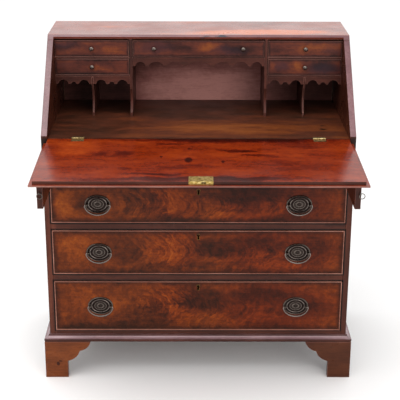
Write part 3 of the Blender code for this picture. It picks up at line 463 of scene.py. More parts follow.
# spots are (x, z, x radius, z radius, strength) in mm from the middle of a front
FLAME_TONES = ("#2a1206", "#431c0b", "#60290d", "#7e390f", "#944c16")
FLAME_DARK = {
    "bottom": (
        (-168, -30, 120, 34, 0.2),
        (-190, -60, 150, 22, 0.3),
        (10, 20, 110, 50, 0.36),
        (190, 32, 130, 36, 0.26),
        (-330, -66, 110, 22, 0.35),
        (320, 0, 90, 50, 0.2),
        (220, -40, 120, 40, 0.12),
        (120, -30, 60, 22, 0.15),
    ),
    "lower": (
        (60, 12, 90, 38, 0.38),
        (180, 28, 130, 30, 0.3),
        (-213, 6, 70, 60, 0.17),
        (-190, -52, 200, 14, 0.18),
        (340, 0, 60, 60, 0.2),
        (0, -46, 60, 18, 0.2),
    ),
    "upper": (
        (150, 30, 190, 34, 0.36),
        (-190, 10, 80, 50, 0.2),
        (-60, -42, 80, 20, 0.25),
        (330, 12, 70, 50, 0.18),
        (-320, 4, 70, 40, 0.2),
        (240, -46, 80, 14, 0.2),
    ),
    "top": ((60, 5, 120, 30, 0.25),),
}
FLAME_LIGHT = {
    "bottom": (
        (-300, 30, 110, 36, 0.14),
        (-100, 34, 90, 30, 0.14),
        (250, -38, 140, 18, 0.1),
        (-60, -20, 60, 24, 0.12),
    ),
    "lower": ((-365, 15, 60, 50, 0.2), (-100, 6, 90, 50, 0.22), (250, -42, 110, 16, 0.14)),
    "upper": ((-400, -4, 40, 50, 0.3), (-60, 14, 50, 40, 0.16), (100, -34, 170, 16, 0.14)),
    "top": ((-150, 0, 120, 30, 0.2),),
}
FLAME_RED = ((240, 0, 260, 120, 1.0), (-60, 10, 130, 90, 0.6))
FLAME_STROKES = {
    "bottom": ((-90, 10, 130, 70, 1.0), (60, -20, 260, 60, 0.7), (-300, 0, 120, 70, 0.4)),
    "lower": ((-90, 5, 130, 80, 1.0), (200, -20, 220, 60, 0.8), (-330, 0, 100, 70, 0.4)),
    "upper": ((-130, 0, 140, 70, 1.0), (60, -15, 160, 50, 0.9), (260, -10, 150, 50, 0.8)),
    "top": ((0, 0, 300, 50, 0.9),),
}
SMALL_DARK = {
    "small_drawer_upper_left": ((-70, 6, 60, 14, 0.3),),
    "small_drawer_lower_left": ((20, 14, 60, 12, 0.2),),
    "small_drawer_centre": ((-60, 4, 70, 18, 0.25), (130, -4, 70, 20, 0.4)),
    "small_drawer_upper_right": ((-90, 0, 30, 20, 0.2),),
    "small_drawer_lower_right": ((60, 0, 60, 20, 0.4),),
}
SMALL_LIGHT = {
    "small_drawer_upper_left": ((60, -10, 50, 16, 0.35),),
    "small_drawer_lower_left": ((10, -4, 60, 12, 0.3),),
    "small_drawer_centre": ((30, 6, 50, 16, 0.4),),
    "small_drawer_upper_right": ((30, 2, 70, 16, 0.35),),
    "small_drawer_lower_right": ((-22, 4, 14, 18, 0.35), (-96, 4, 8, 14, 0.15)),
}
SMALL_GREYED = {
    "small_drawer_upper_left": ((-80, 10, 50, 12, 0.3),),
    "small_drawer_lower_left": ((-90, 8, 30, 12, 0.25),),
    "small_drawer_centre": ((-130, 0, 70, 24, 0.35), (90, -6, 70, 18, 0.4)),
    "small_drawer_upper_right": ((90, -8, 40, 12, 0.2),),
    "small_drawer_lower_right": ((-70, 0, 34, 20, 0.55), (60, -4, 70, 20, 0.5)),
}


def spots_on(node, spots):
    """Patches given from the middle of a node's front, as centres and radii in metres."""
    centre = middle_of(node)
    return [
        ((centre.x + x * MM, centre.y, centre.z + z * MM), (rx * MM, 0.3, rz * MM), strength)
        for x, z, rx, rz, strength in spots
    ]


def on_fall(spots):
    """Patches given in mm across from the middle and forward from the hinge side."""
    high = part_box("fall_board")[1]
    return [
        ((x * MM, high.y - forward * MM, high.z), (rx * MM, ry * MM, 0.2), strength)
        for x, forward, rx, ry, strength in spots
    ]


def case_finishes():
    """Varnished mahogany of the case: a deep red-brown sheen, dark in the grain, with painted
    shade round the drawer openings.
    """
    made = {}
    openings = [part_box(f"drawer_front_{level}") for level in LEVELS]
    rail = middle_of("drawer_divider_lower")
    rubbed = [
        ((-0.29, rail.y, rail.z), (0.11, 0.3, 0.012), 0.5),
        ((-0.4485, rail.y, rail.z + 0.1), (0.02, 0.8, 0.34), 0.5),
    ]
    # painted shade: a dark spot on each side where the slanted edge meets the upright front, above the fall
    corner_shade_z = middle_of("fall_board").z - 4 * MM
    corner_shades = [((x, -0.062, corner_shade_z), (0.03, 0.04, 0.026), 0.9) for x in (-0.449, 0.449)]
    case_tones = ("#220f0a", "#371911", "#4b2418", "#5d2f20")
    for grain in "xyz":
        made[f"case_{grain}"] = wood(
            f"polished_mahogany_case_grain_{grain}",
            grain,
            case_tones,
            streaks=0.7,
            dark_spots=corner_shades,
            light_spots=rubbed,
            # painted shade round each drawer opening, for the gaps' shadow, with old wax
            grime_and_gap_shade=(openings, 5 * MM),
        )
    # hands and cloths have rubbed the arrises paler and brighter than the faces
    made["edge"] = wood(
        "rubbed_mahogany_edge", "x", ("#4f2a24", "#6d443a", "#8a6054"), gloss=(0.22, 0.3)
    )
    # the slanted front edges are painted grey-pink, a painted reflection; a blue-black bruise marks the top's
    top_low, top_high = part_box("top_board")
    bruise = [
        ((0.03, top_low.y + 0.003, top_low.z + 0.002), (0.075, 0.03, 0.008), 1.0),
        ((0.075, top_low.y + 0.004, top_low.z + 0.005), (0.03, 0.03, 0.009), 1.0),
    ]
    for finish, grain in (("slope", "z"), ("slope_x", "x")):
        made[finish] = wood(
            f"mahogany_painted_reflection_{finish}",
            grain,
            ("#4b2c30", "#674246", "#825c60"),
            bloom=("#232a38", bruise, "MIX"),
            specular=0.5,
            gloss=(0.2, 0.3),
        )
    # a cockbead stands proud; its pale pinkish line is partly rubbed wear, partly a painted highlight on its nose
    made["bead"] = wood(
        "cockbead_mahogany_painted_highlight", "x", ("#653a2d", "#8f5f50", "#b48474"), gloss=(0.25, 0.35)
    )
    # mouldings are run with a plane; faces that look up take a paler copy, a painted highlight, and the rest stay
    # dark
    made["moulding"] = wood(
        "run_moulding_mahogany",
        "x",
        ("#1f0e0b", "#351a14", "#49261f", "#5b342c"),
        streaks=0.6,
        gloss=(0.16, 0.26),
    )
    made["moulding_top"] = wood(
        "moulding_mahogany_painted_highlight",
        "x",
        ("#6a4e50", "#8e7074", "#ab8e92"),
        specular=0.6,
        gloss=(0.16, 0.26),
    )
    # the fall's thin lip is painted paler along its edge, a painted highlight
    made["lip"] = wood(
        "lip_mahogany_painted_highlight", "x", ("#55302a", "#80544a", "#aa8072"), gloss=(0.22, 0.3)
    )
    # the feet are sawn from other boards, one bright with a small knot, the rest dark
    made["foot_left"] = wood(
        "foot_mahogany_bright",
        "x",
        ("#34150a", "#5a2b12", "#733a19", "#864922"),
        streaks=0.5,
        knots=spots_on("foot_front_left", ((-31, -14, 7, 7, 0.8), (-24, -4, 6, 3, 0.5))),
    )
    made["foot_right"] = wood(
        "foot_mahogany_dark", "x", ("#250f09", "#3d1d10", "#4f2815", "#5e331e"), streaks=0.5
    )
    # the top has faded to a dusty rose, with one streak of the first orange left
    made["top"] = wood(
        "top_board_mahogany",
        "x",
        ("#4a2019", "#74352a", "#8f4838", "#c0602c"),
        streaks=0.5,
        light_spots=[
            ((0.20, top_low.y + 0.06, top_high.z), (0.26, 0.045, 0.1), 0.75),
            ((0.02, top_low.y + 0.03, top_high.z), (0.30, 0.012, 0.1), 0.3),
        ],
        gloss=(0.2, 0.34),
        specular=0.5,
        coat=0.25,
    )
    return made


def writing_finishes():
    """Oiled mahogany that is written on: glossy orange-red, with ink and cup stains."""
    made = {}
    made["fall"] = wood(
        "writing_mahogany",
        "x",
        ("#2e0a05", "#521307", "#75250b", "#8d340f", "#a04316"),
        clouds=0.9,
        streaks=0.5,
        mottled=0.5,
        cloud_size=55,
        streak_size=4,
        dark_spots=on_fall(
            (
                (120, 105, 60, 13, 0.42),
                (165, 138, 70, 13, 0.36),
                (215, 150, 40, 12, 0.3),
                (80, 92, 36, 9, 0.32),
                (-285, 125, 34, 24, 0.3),
                (-212, 120, 36, 26, 0.34),
                (-85, 45, 50, 10, 0.3),
                (-200, 245, 26, 16, 0.3),
                (-120, 285, 110, 12, 0.28),
                (110, 6, 340, 30, 0.55),
                (10, 8, 420, 12, 0.2),
                (-30, 230, 90, 22, 0.16),
                (0, 322, 430, 22, 0.4),
                (240, 230, 120, 50, 0.16),
                (310, 60, 60, 30, 0.14),
            )
        ),
        light_spots=on_fall(
            ((-345, 80, 80, 80, 0.3), (250, 120, 80, 60, 0.14), (-60, 120, 60, 50, 0.12))
        ),
        knots=on_fall(
            (
                (-30, 176, 12, 26, 0.5),
                (-30, 176, 8, 18, 0.95),
                (66, 190, 6, 12, 0.5),
                (-105, 151, 5, 9, 0.5),
                (-28, 83, 4, 8, 0.5),
            )
        ),
        gloss=(0.12, 0.2),
        specular=0.32,
        coat=0.0,
    )
    # the desk board is duller and browner, darker towards the back and along its front edge
    desk_low, desk_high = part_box("desk_board")
    made["desk"] = wood(
        "desk_board_mahogany",
        "x",
        ("#1c100b", "#382016", "#50291b", "#67351b", "#78411f"),
        streaks=0.5,
        dark_spots=[
            ((0, desk_high.y - 0.05, desk_high.z), (0.6, 0.22, 0.2), 0.2),
            ((-0.36, desk_low.y + 0.10, desk_high.z), (0.16, 0.2, 0.2), 0.2),
            ((0, desk_low.y + 0.006, desk_high.z), (0.6, 0.018, 0.2), 0.35),
            ((0.377, 0.075, desk_high.z), (0.012, 0.006, 0.2), 0.9),
            ((0.372, 0.045, desk_high.z), (0.016, 0.006, 0.2), 0.9),
        ],
        light_spots=[((0.1, desk_low.y + 0.11, desk_high.z), (0.3, 0.06, 0.2), 0.35)],
        gloss=(0.3, 0.45),
        cloud_size=50,
    )
    return made


def interior_finishes():
    """Thin waxed boards of the interior: a dull dark brown with paler edges."""
    made = {}
    small_openings = [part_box(node) for node in SMALL_LIGHT]
    for grain in "xyz":
        made[f"interior_{grain}"] = wood(
            f"waxed_mahogany_interior_grain_{grain}",
            grain,
            ("#1c0e0b", "#361b16", "#4c271f", "#5e3228"),
            streaks=0.6,
            cloud_size=45,
            streak_size=5,
            # painted shade round each small drawer's opening, for the gaps' shadow, with old wax
            grime_and_gap_shade=(small_openings, 3 * MM),
            gloss=(0.4, 0.55),
        )
    made["interior_edge"] = wood(
        "rubbed_interior_edge", "x", ("#58322b", "#865a50", "#a97d71"), gloss=(0.3, 0.4)
    )
    # the small fronts are picked for their figure: orange flashes between greyed patches
    for node, spots in SMALL_LIGHT.items():
        low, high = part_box(node)
        made[node] = wood(
            f"figured_mahogany_{node}",
            "x",
            ("#1f0c09", "#3b1b16", "#53271d", "#6a331c", "#80441d"),
            clouds=1.0,
            streaks=0.35,
            mottled=0.5,
            cloud_size=34,
            streak_size=4,
            dark_spots=spots_on(node, SMALL_DARK[node]),
            light_spots=spots_on(node, spots),
            bloom=("#33212b", spots_on(node, SMALL_GREYED[node]), "MIX"),
            rim=(low, high, 9 * MM),
            gloss=(0.3, 0.42),
        )
    # planed oak linings are left bare, so they stay dry and yellow-brown
    for grain in "xy":
        made[f"lining_{grain}"] = wood(
            f"planed_oak_lining_grain_{grain}",
            grain,
            ("#5f4526", "#8a6a41", "#a98757", "#bb9c6c"),
            streak_size=5,
            gloss=(0.55, 0.7),
            coat=0.0,
        )
    # pine boards: stained and dusty pink within, raw and knotty outside
    back_low, back_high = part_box("back_panel")
    made["back"] = wood(
        "stained_pine_backboards",
        "x",
        ("#40211c", "#643832", "#8f5a54", "#b88078"),
        clouds=0.7,
        streaks=0.4,
        streak_size=3,
        cloud_size=40,
        knots=[((0.005, back_low.y, 0.905), (0.012, 0.2, 0.008), 0.7)],
        # painted shade: the boards are darker at each side, behind the pigeonholes
        dark_spots=[
            ((-0.2, back_low.y, 0.95), (0.16, 0.2, 0.1), 0.3),
            ((-0.33, back_low.y, 0.82), (0.17, 0.2, 0.2), 0.5),
            ((0.33, back_low.y, 0.82), (0.17, 0.2, 0.2), 0.4),
        ],
        # a painted pool of light low in the open middle
        light_spots=[((0.05, back_low.y, 0.80), (0.34, 0.2, 0.10), 0.5)],
        gloss=(0.45, 0.6),
        pore_tone=0.25,
    )
    made["back_outer"] = wood(
        "unpolished_pine_backboards",
        "x",
        ("#3a2a1e", "#5c4431", "#775b42", "#8c7054"),
        clouds=0.8,
        streak_size=9,
        knots=[
            ((-0.27, back_high.y, 0.30), (0.018, 0.2, 0.012), 0.8),
            ((0.21, back_high.y, 0.52), (0.014, 0.2, 0.010), 0.8),
            ((-0.08, back_high.y, 0.88), (0.016, 0.2, 0.011), 0.8),
        ],
        gloss=(0.6, 0.8),
        coat=0.0,
    )
    return made


def flame_finishes():
    """Flame veneer, knife-cut and French polished: fiery plumes on brown, with dark rims."""
    made = {}
    for level in LEVELS:
        node = f"drawer_front_{level}"
        low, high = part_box(node)
        spine = (low.z + high.z) / 2
        made[f"flame_{level}"] = wood(
            f"flame_mahogany_veneer_{level}",
            "x",
            FLAME_TONES,
            clouds=0.8,
            streaks=0.3,
            mottled=0.85,
            cloud_size=60,
            streak_size=4,
            plume=(spine, spots_on(node, FLAME_STROKES[level]), 1.75),
            dark_spots=spots_on(node, FLAME_DARK[level]),
            light_spots=spots_on(node, FLAME_LIGHT[level]),
            bloom=("#f2cfc6", spots_on(node, FLAME_RED), "MULTIPLY"),
            rim=(low, high, 22 * MM),
            gloss=(0.2, 0.32),
            specular=0.1,
            pore_tone=0.3,
        )
    return made


def metal_finishes():
    """Brass and bronze, left to tarnish; the keyhole shadow is a painted shadow inside a keyhole."""
    made = {}
    made["brass"] = brass("aged_cast_brass", ("#6b5426", "#b89c55", "#e0cc92"))
    made["hinge_brass"] = brass("worn_hinge_brass", ("#5a482e", "#9a845a", "#d6c498"))
    made["old_brass"] = brass("tarnished_thread_brass", ("#2c2214", "#544224", "#7c6438"))
    # near black for the bolt and the drill pin, painted shade of the slot and the pin hole; the lock's seam uses
    # it too
    made["bolt"] = brass("blackened_brass_and_painted_shade", ("#14100c", "#241d15", "#3a2f20"))
    made["bronze"] = bronze("patinated_handle_bronze", ("#17110f", "#2b2320"), "#7d7269")
    # a paler bronze for bails, knobs and the plates' ridges: rubbed wear and a painted highlight
    made["rubbed_bronze_and_highlight"] = bronze("handle_bronze_rubbed_and_highlit", ("#38302c", "#665c56"), "#9c918a")
    made["keyhole_shadow"] = wood("shadowed_hole", "x", ("#060403", "#0c0705"), gloss=(0.7, 0.8))
    return made


# ---- mesh helpers ---------------------------------------------------------------------
def mesh_from(shape, name):
    bmesh.ops.recalc_face_normals(shape, faces=shape.faces)
    mesh = bpy.data.meshes.new(name)
    shape.to_mesh(mesh)
    shape.free()
    return mesh


def link(name, mesh, *finishes):
    obj = bpy.data.objects.new(name, mesh)
    bpy.context.scene.collection.objects.link(obj)
    for finish in finishes:
        mesh.materials.append(MATERIALS[finish])
    return obj


def attach(obj, body, slot, *nodes):
    """The piece moves with the body and stands for the nodes; the slot is not used."""
    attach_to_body(obj, body)
    if nodes:
        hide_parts(*nodes)
    return obj


def ease(obj, width, segments=2):
    """Rounds the sharp edges; the rounding takes the second finish, where hands rub it."""
    bevel = obj.modifiers.new("ease", "BEVEL")
    bevel.width = width
    bevel.segments = segments
    bevel.limit_method = "ANGLE"
    bevel.angle_limit = math.radians(35)
    if len(obj.data.materials) > 1:
        bevel.material = 1
    obj.data.shade_smooth()
    even = obj.modifiers.new("even", "WEIGHTED_NORMAL")
    even.weight = 100
    return obj


def soften(obj, angle=40):
    obj.data.shade_smooth()
    obj.data.set_sharp_from_angle(angle=math.radians(angle))
    return obj


def solid_of(node):
    """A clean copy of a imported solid, its flat faces whole again."""
    shape = bmesh.new()
    shape.from_mesh(frame["nodes"][node].data)
    bmesh.ops.remove_doubles(shape, verts=shape.verts, dist=0.02 * MM)
    bmesh.ops.dissolve_limit(
        shape, angle_limit=math.radians(0.6), verts=shape.verts, edges=shape.edges
    )
    return shape


def finished(
    node, name, finish, edge, slot="case_mahogany", width=0.8 * MM, segments=2, facing=()
):
    """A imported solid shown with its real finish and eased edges.

    Facing is pairs (finish, test): the faces that pass the test take that finish.
    """
    obj = link(name, mesh_from(solid_of(node), name), finish, edge)
    for other, test in facing:
        obj.data.materials.append(MATERIALS[other])
        for face in filter(test, obj.data.polygons):
            face.material_index = len(obj.data.materials) - 1
    ease(obj, width, segments)
    return attach(obj, BODY_OF[node], slot, node)


def slopes(face):
    return face.normal.y < -0.5 and face.normal.z > 0.5


def faces_front(face):
    return face.normal.y < -0.5


def looks_up(face):
    return face.normal.z > 0.45


def is_lip(face):
    """The front faces of the fall's rebated lip, under its thick middle."""
    return faces_front(face) and face.center.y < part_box("fall_board")[0].y + 5 * MM


def block(low, high):
    shape = bmesh.new()
    bmesh.ops.create_cube(shape, size=1.0)
    for vert in shape.verts:
        for axis in range(3):
            middle = (low[axis] + high[axis]) / 2
            vert.co[axis] = middle + vert.co[axis] * (high[axis] - low[axis])
    return shape


def skin(shape, rings, ends=True):
    """Joins each ring of points to the next, and caps the first and the last."""
    made = []
    for lower, upper in zip(rings, rings[1:]):
        count = len(lower)
        for i in range(count):
            j = (i + 1) % count
            made.append(shape.faces.new((lower[i], lower[j], upper[j], upper[i])))
    if ends:
        shape.faces.new(rings[0])
        shape.faces.new(rings[-1])
    return made


def extruded(points, low_y, high_y):
    """A closed (x, z) outline drawn square to Y."""
    shape = bmesh.new()
    skin(shape, [[shape.verts.new((x, y, z)) for x, z in points] for y in (low_y, high_y)])
    return shape


def around(steps):
    """Evenly spaced turns, as (cosine, sine)."""
    turns = (2 * math.pi * i / steps for i in range(steps))
    return [(math.cos(turn), math.sin(turn)) for turn in turns]


def lathe(profile, steps=32):
    """A (radius, height) profile turned about Z and closed at both ends."""
    shape = bmesh.new()
    rings = [
        [shape.verts.new((radius * x, radius * y, height)) for x, y in around(steps)]
        for radius, height in profile
    ]
    skin(shape, rings)
    return shape


def rounded_profile(points, steps=4):
    """A smooth curve through the profile's points."""
    smooth = [points[0]]
    for i in range(len(points) - 1):
        before = points[max(i - 1, 0)]
        start, end = points[i], points[i + 1]
        after = points[min(i + 2, len(points) - 1)]
        for step in range(1, steps + 1):
            t = step / steps
            smooth.append(
                tuple(
                    0.5
                    * (
                        2 * b
                        + (c - a) * t
                        + (2 * a - 5 * b + 4 * c - d) * t**2
                        + (3 * b - a - 3 * c + d) * t**3
                    )
                    for a, b, c, d in zip(before, start, end, after)
                )
            )
    return smooth


def carve(shape, cutter, operation="DIFFERENCE"):
    """The boolean of two bmeshes, as a new bmesh."""
    pair = []
    for part in (shape, cutter):
        obj = bpy.data.objects.new("blank", mesh_from(part, "blank"))
        bpy.context.scene.collection.objects.link(obj)
        pair.append(obj)
    modifier = pair[0].modifiers.new("carve", "BOOLEAN")
    modifier.operation = operation
    modifier.object = pair[1]
    graph = bpy.context.evaluated_depsgraph_get()
    made = bmesh.new()
    made.from_mesh(pair[0].evaluated_get(graph).to_mesh())
    for obj in pair:
        mesh = obj.data
        bpy.data.objects.remove(obj, do_unlink=True)
        bpy.data.meshes.remove(mesh)
    return made


def tube(name, points, radii, closed=False, sides=3):
    """A wire along the points, its thickness following the radii."""
    curve = bpy.data.curves.new(name, "CURVE")
    curve.dimensions = "3D"
    curve.bevel_depth = 1.0
    curve.bevel_resolution = sides
    curve.use_fill_caps = True
    spline = curve.splines.new("POLY")
    spline.points.add(len(points) - 1)
    for point, co, radius in zip(spline.points, points, radii):
        point.co = (*co, 1)
        point.radius = radius
    spline.use_cyclic_u = closed
    drawn = bpy.data.objects.new(name, curve)
    bpy.context.scene.collection.objects.link(drawn)
    bpy.context.view_layer.update()
    graph = bpy.context.evaluated_depsgraph_get()
    shape = bmesh.new()
    shape.from_mesh(drawn.evaluated_get(graph).to_mesh())
    bpy.data.objects.remove(drawn)
    bpy.data.curves.remove(curve)
    bmesh.ops.remove_doubles(shape, verts=shape.verts, dist=0.001 * MM)
    return shape


def screw_mesh(radius):
    """A countersunk wood screw's slotted head, facing +Z, sunk a little below its rim."""
    dome = rounded_profile(
        [
            (radius, -0.8 * MM),
            (radius, -0.1 * MM),
            (0.9 * radius, 0.12 * MM),
            (0.5 * radius, 0.2 * MM),
            (0.05 * radius, 0.22 * MM),
        ],
        3,
    )
    slot = block(
        (-1.2 * radius, -0.14 * radius, -0.25 * MM), (1.2 * radius, 0.14 * radius, MM)
    )
    return mesh_from(carve(lathe(dome, 24), slot), "screw_head")


# ---- the case -------------------------------------------------------------------------
def make_base_moulding(place):
    """One run of moulding, painted paler where it faces up: a painted highlight."""
    finished(
        f"base_moulding_{place}",
        f"run_moulding_{place}",
        "moulding",
        "moulding",
        width=0.5 * MM,
        facing=[("moulding_top", looks_up)],
    )


def make_case():
    """Boards, mouldings and feet."""
    for side in SIDES:
        panel = f"side_panel_{side}"
        finished(panel, f"polished_side_{side}", "case_z", "case_z", facing=[("slope", slopes)])
        finished(f"loper_guide_{side}", f"planed_loper_guide_{side}", "case_y", "edge")
        make_base_moulding(side)
        for end in ("front", "back"):
            finish = "foot_left" if (end, side) == ("front", "left") else "foot_right"
            foot = f"foot_{end}_{side}"
            finished(foot, f"bracket_{foot}", finish, "edge", width=1.0 * MM)
    finished(
        "top_board",
        "polished_top",
        "top",
        "edge",
        width=1.2 * MM,
        segments=3,
        facing=[("slope_x", slopes)],
    )
    finished("bottom_board", "planed_bottom", "case_x", "edge")
    make_base_moulding("front")
    for level in ("lower", "middle", "upper"):
        finished(f"drawer_divider_{level}", f"planed_divider_{level}", "case_x", "case_x")
    finished("desk_board", "polished_desk", "desk", "edge", "writing_mahogany")


def make_backboards():
    """Four stained pine boards, laid across, with eased joints between them."""
    low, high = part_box("back_panel")
    desk_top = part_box("desk_board")[1].z
    lower_joint = desk_top - 6 * MM
    third = (lower_joint - low.z) / 3
    joints = [low.z, low.z + third, low.z + 2 * third, lower_joint, high.z]
    boards = bmesh.new()
    for under, over in zip(joints, joints[1:]):
        board = block((low.x, low.y, under + 0.25 * MM), (high.x, high.y, over - 0.25 * MM))
        mesh = mesh_from(board, "board")
        boards.from_mesh(mesh)
        bpy.data.meshes.remove(mesh)
    obj = link("pine_backboards", mesh_from(boards, "pine_backboards"), "back", "back_outer")
    for face in obj.data.polygons:
        if face.normal.y > 0.5:
            face.material_index = 1
    ease(obj, 1.2 * MM)
    attach(obj, "case", "backboard_pine", "back_panel")


# ---- the fall, its hinges and its lock --------------------------------------------------
def make_fall():
    """The writing fall, its lock with screws, drill pin and seam, and its keyhole."""
    finished(
        "fall_board",
        "polished_fall",
        "fall",
        "edge",
        "writing_mahogany",
        1.3 * MM,
        3,
        facing=[("case_x", faces_front), ("lip", is_lip)],
    )
    finished("fall_lock", "filed_lock", "brass", "brass", "brass", 0.25 * MM)
    finished("fall_lock_bolt", "filed_bolt", "bolt", "bolt", "brass", 0.3 * MM)
    tilt = Matrix.Rotation(FALL_DROOP, 4, "X")
    lock_low, lock_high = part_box("fall_lock")
    middle = (lock_low.x + lock_high.x) / 2
    screw = screw_mesh(1.9 * MM)

    def on_lock(x, back):
        """Moves a piece onto the lock plate, this far behind its front edge, and tilts it."""
        y = lock_low.y + 0.5 * MM + back * math.cos(FALL_DROOP)
        z = lock_high.z - (LOCK_DEPTH - back) * math.sin(FALL_DROOP) - SUNK
        return Matrix.Translation((x, y, z)) @ tilt

    for number, (x, back) in enumerate(((-27, 8), (27, 8), (-27, 31), (27, 31))):
        head = link(f"lock_screw_{number + 1}", screw.copy(), "old_brass")
        turn = Matrix.Rotation(math.radians(25 + 40 * number), 4, "Z")
        head.matrix_world = on_lock(middle + x * MM, back * MM) @ turn
        soften(head, 30)
        attach(head, "fall", "brass")
    pin = rounded_profile(
        [(2.6 * MM, -0.8 * MM), (2.6 * MM, 0.1 * MM), (1.9 * MM, 0.4 * MM), (0.1 * MM, 0.5 * MM)], 3
    )
    head = link("lock_drill_pin", mesh_from(lathe(pin, 20), "lock_drill_pin"), "bolt")
    head.matrix_world = on_lock(middle - 3 * MM, 20 * MM)
    soften(head)
    attach(head, "fall", "brass")
    # outside, a thread escutcheon round a keyhole plugged dark as a painted shadow; its eye is up when the fall is
    # shut
    for name, hole, finish, proud in (
        ("fall_escutcheon", ESCUTCHEON, "old_brass", 0.3 * MM),
        ("fall_keyhole", KEYHOLE, "keyhole_shadow", 0.36 * MM),
    ):
        shape = extruded(keyhole(*hole), -proud, 2 * MM)
        shape.transform(Matrix.Rotation(math.pi / 2, 4, "X"))
        ring = link(name, mesh_from(shape, name), finish)
        ring.matrix_world = on_lock(middle, 24 * MM) @ Matrix.Translation((0, 0, -FALL_THICKNESS))
        soften(ring, 30)
        attach(ring, "fall", "brass")
    # the cap of the lock meets its bent front in a dark seam
    seam = block((-LOCK_SEAM / 2, 0, -0.8 * MM), (LOCK_SEAM / 2, 2.8 * MM, 0.06 * MM))
    strip = link("lock_seam", mesh_from(seam, "lock_seam"), "bolt", "bolt")
    strip.matrix_world = on_lock(middle, 2.2 * MM)
    ease(strip, 0.1 * MM)
    attach(strip, "fall", "brass")


def make_hinges():
    """Two brass butt hinges; each leaf is held by three slotted screws."""
    screw = screw_mesh(1.7 * MM)
    pivot = Vector(JOINTS["fall_hinge"]["pos_m"])
    for side in SIDES:
        for leaf, away, tilt in (("desk", 1, 0.0), ("fall", -1, FALL_DROOP)):
            node = f"hinge_{leaf}_leaf_{side}"
            finish = "hinge_brass"
            finished(node, f"filed_{leaf}_hinge_{side}", finish, finish, "brass", 0.2 * MM)
            middle = middle_of(node).x
            for number, (x, back) in enumerate(((-12.5, 15), (0, 11), (12.5, 15))):
                head = link(f"hinge_{leaf}_screw_{side}_{number + 1}", screw.copy(), "old_brass")
                spin = Matrix.Rotation(math.radians(30 + 47 * number), 4, "Z")
                hang = Matrix.Translation((middle + x * MM, pivot.y, pivot.z))
                hang = hang @ Matrix.Rotation(tilt, 4, "X")
                seat = Matrix.Translation((0, away * back * MM, -HINGE_FACE - SUNK))
                head.matrix_world = hang @ seat @ spin
                soften(head, 30)
                attach(head, BODY_OF[node], "brass")


# ---- lopers ---------------------------------------------------------------------------
def make_lopers():
    """The pull-out bearers with a screw eye and a small ring in each end."""
    steps = 40
    turns = [2 * math.pi * i / steps for i in range(steps)]
    for side, sign in SIDES.items():
        node = f"loper_{side}"
        low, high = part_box(node)
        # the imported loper's box takes in its screw eye, so the board is set out from its guide
        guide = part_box(f"loper_guide_{side}")
        near = guide[max(sign, 0)].x + sign * LOPER_GAP
        inner, outer = sorted((near, near + sign * LOPER_THICKNESS))
        board = block((inner, low.y + EYE_REACH, low.z), (outer, high.y, high.z))
        obj = link(f"planed_loper_{side}", mesh_from(board, "loper"), "case_y", "edge")
        ease(obj, 1.0 * MM)
        attach(obj, node, "case_mahogany", node)
        joint = JOINTS[f"ring_{side}_swing"]
        pivot = Vector(joint["pos_m"])
        lean = math.atan2(-joint["axis"][2], -joint["axis"][0])
        turned = Matrix.Rotation(-lean, 4, "Y")
        hang = EYE_RADIUS - EYE_WIRE - RING_WIRE - 0.3 * MM
        eye_at = pivot + Vector((-hang * math.sin(lean), 0, hang * math.cos(lean)))
        loop = [(0, EYE_RADIUS * math.cos(t), EYE_RADIUS * math.sin(t)) for t in turns]
        eye = tube("eye", loop, [EYE_WIRE] * steps, closed=True)
        eye.transform(turned)
        collar = 2.2 * EYE_WIRE
        stem = lathe([(EYE_WIRE, 0), (EYE_WIRE, 4 * MM), (collar, 4.2 * MM), (collar, 5.4 * MM)], 20)
        behind = Matrix.Translation((0, EYE_RADIUS - 0.4 * MM, 0))
        stem.transform(behind @ Matrix.Rotation(-math.pi / 2, 4, "X"))
        eye.from_mesh(mesh_from(stem, "stem"))
        eye.transform(Matrix.Translation(eye_at))
        obj = soften(link(f"screw_eye_{side}", mesh_from(eye, "screw_eye"), "bronze"))
        attach(obj, node, "dark_bronze")
        loop = [(math.sin(t), 0, -1 - math.cos(t)) for t in turns]
        loop = [tuple(RING_RADIUS * part for part in point) for point in loop]
        ring = tube("ring", loop, [RING_WIRE] * steps, closed=True)
        ring.transform(Matrix.Translation(pivot) @ turned)
        obj = soften(link(f"pull_ring_{side}", mesh_from(ring, "pull_ring"), "bronze"))
        attach(obj, f"ring_{side}", "dark_bronze", f"loper_ring_{side}")


# ---- long drawers ---------------------------------------------------------------------
def keyhole(width, height):
    """(x, z) round a keyhole: a round eye over a tapering slot."""
    radius = width / 2
    eye_z = height / 2 - radius
    start = math.radians(-52)
    sweep = 2 * math.pi - 2 * (math.pi / 2 + start)
    points = [
        (
            radius * math.cos(start + sweep * i / 14),
            eye_z + radius * math.sin(start + sweep * i / 14),
        )
        for i in range(15)
    ]
    foot = 0.36 * width
    return points + [(-foot, -height / 2), (foot, -height / 2)]


def plate_height(share, turn):
    """Relief of the stamped oval plate, from its middle (0) to its rim (1)."""
    rim = 1.5 * math.exp(-(((share - 0.93) / 0.045) ** 2))
    bead = 1.3 * math.exp(-(((share - 0.70) / 0.04) ** 2))
    inner = 0.7 * math.exp(-(((share - 0.47) / 0.03) ** 2))
    flutes = 0.42 * math.cos(18 * turn) * math.exp(-(((share - 0.30) / 0.13) ** 2))
    boss = 0.9 * math.exp(-((share / 0.12) ** 2))
    edge = max(0.0, (share - 0.965) / 0.035)
    return (0.5 + rim + bead + inner + flutes + boss) * (1 - edge) * MM


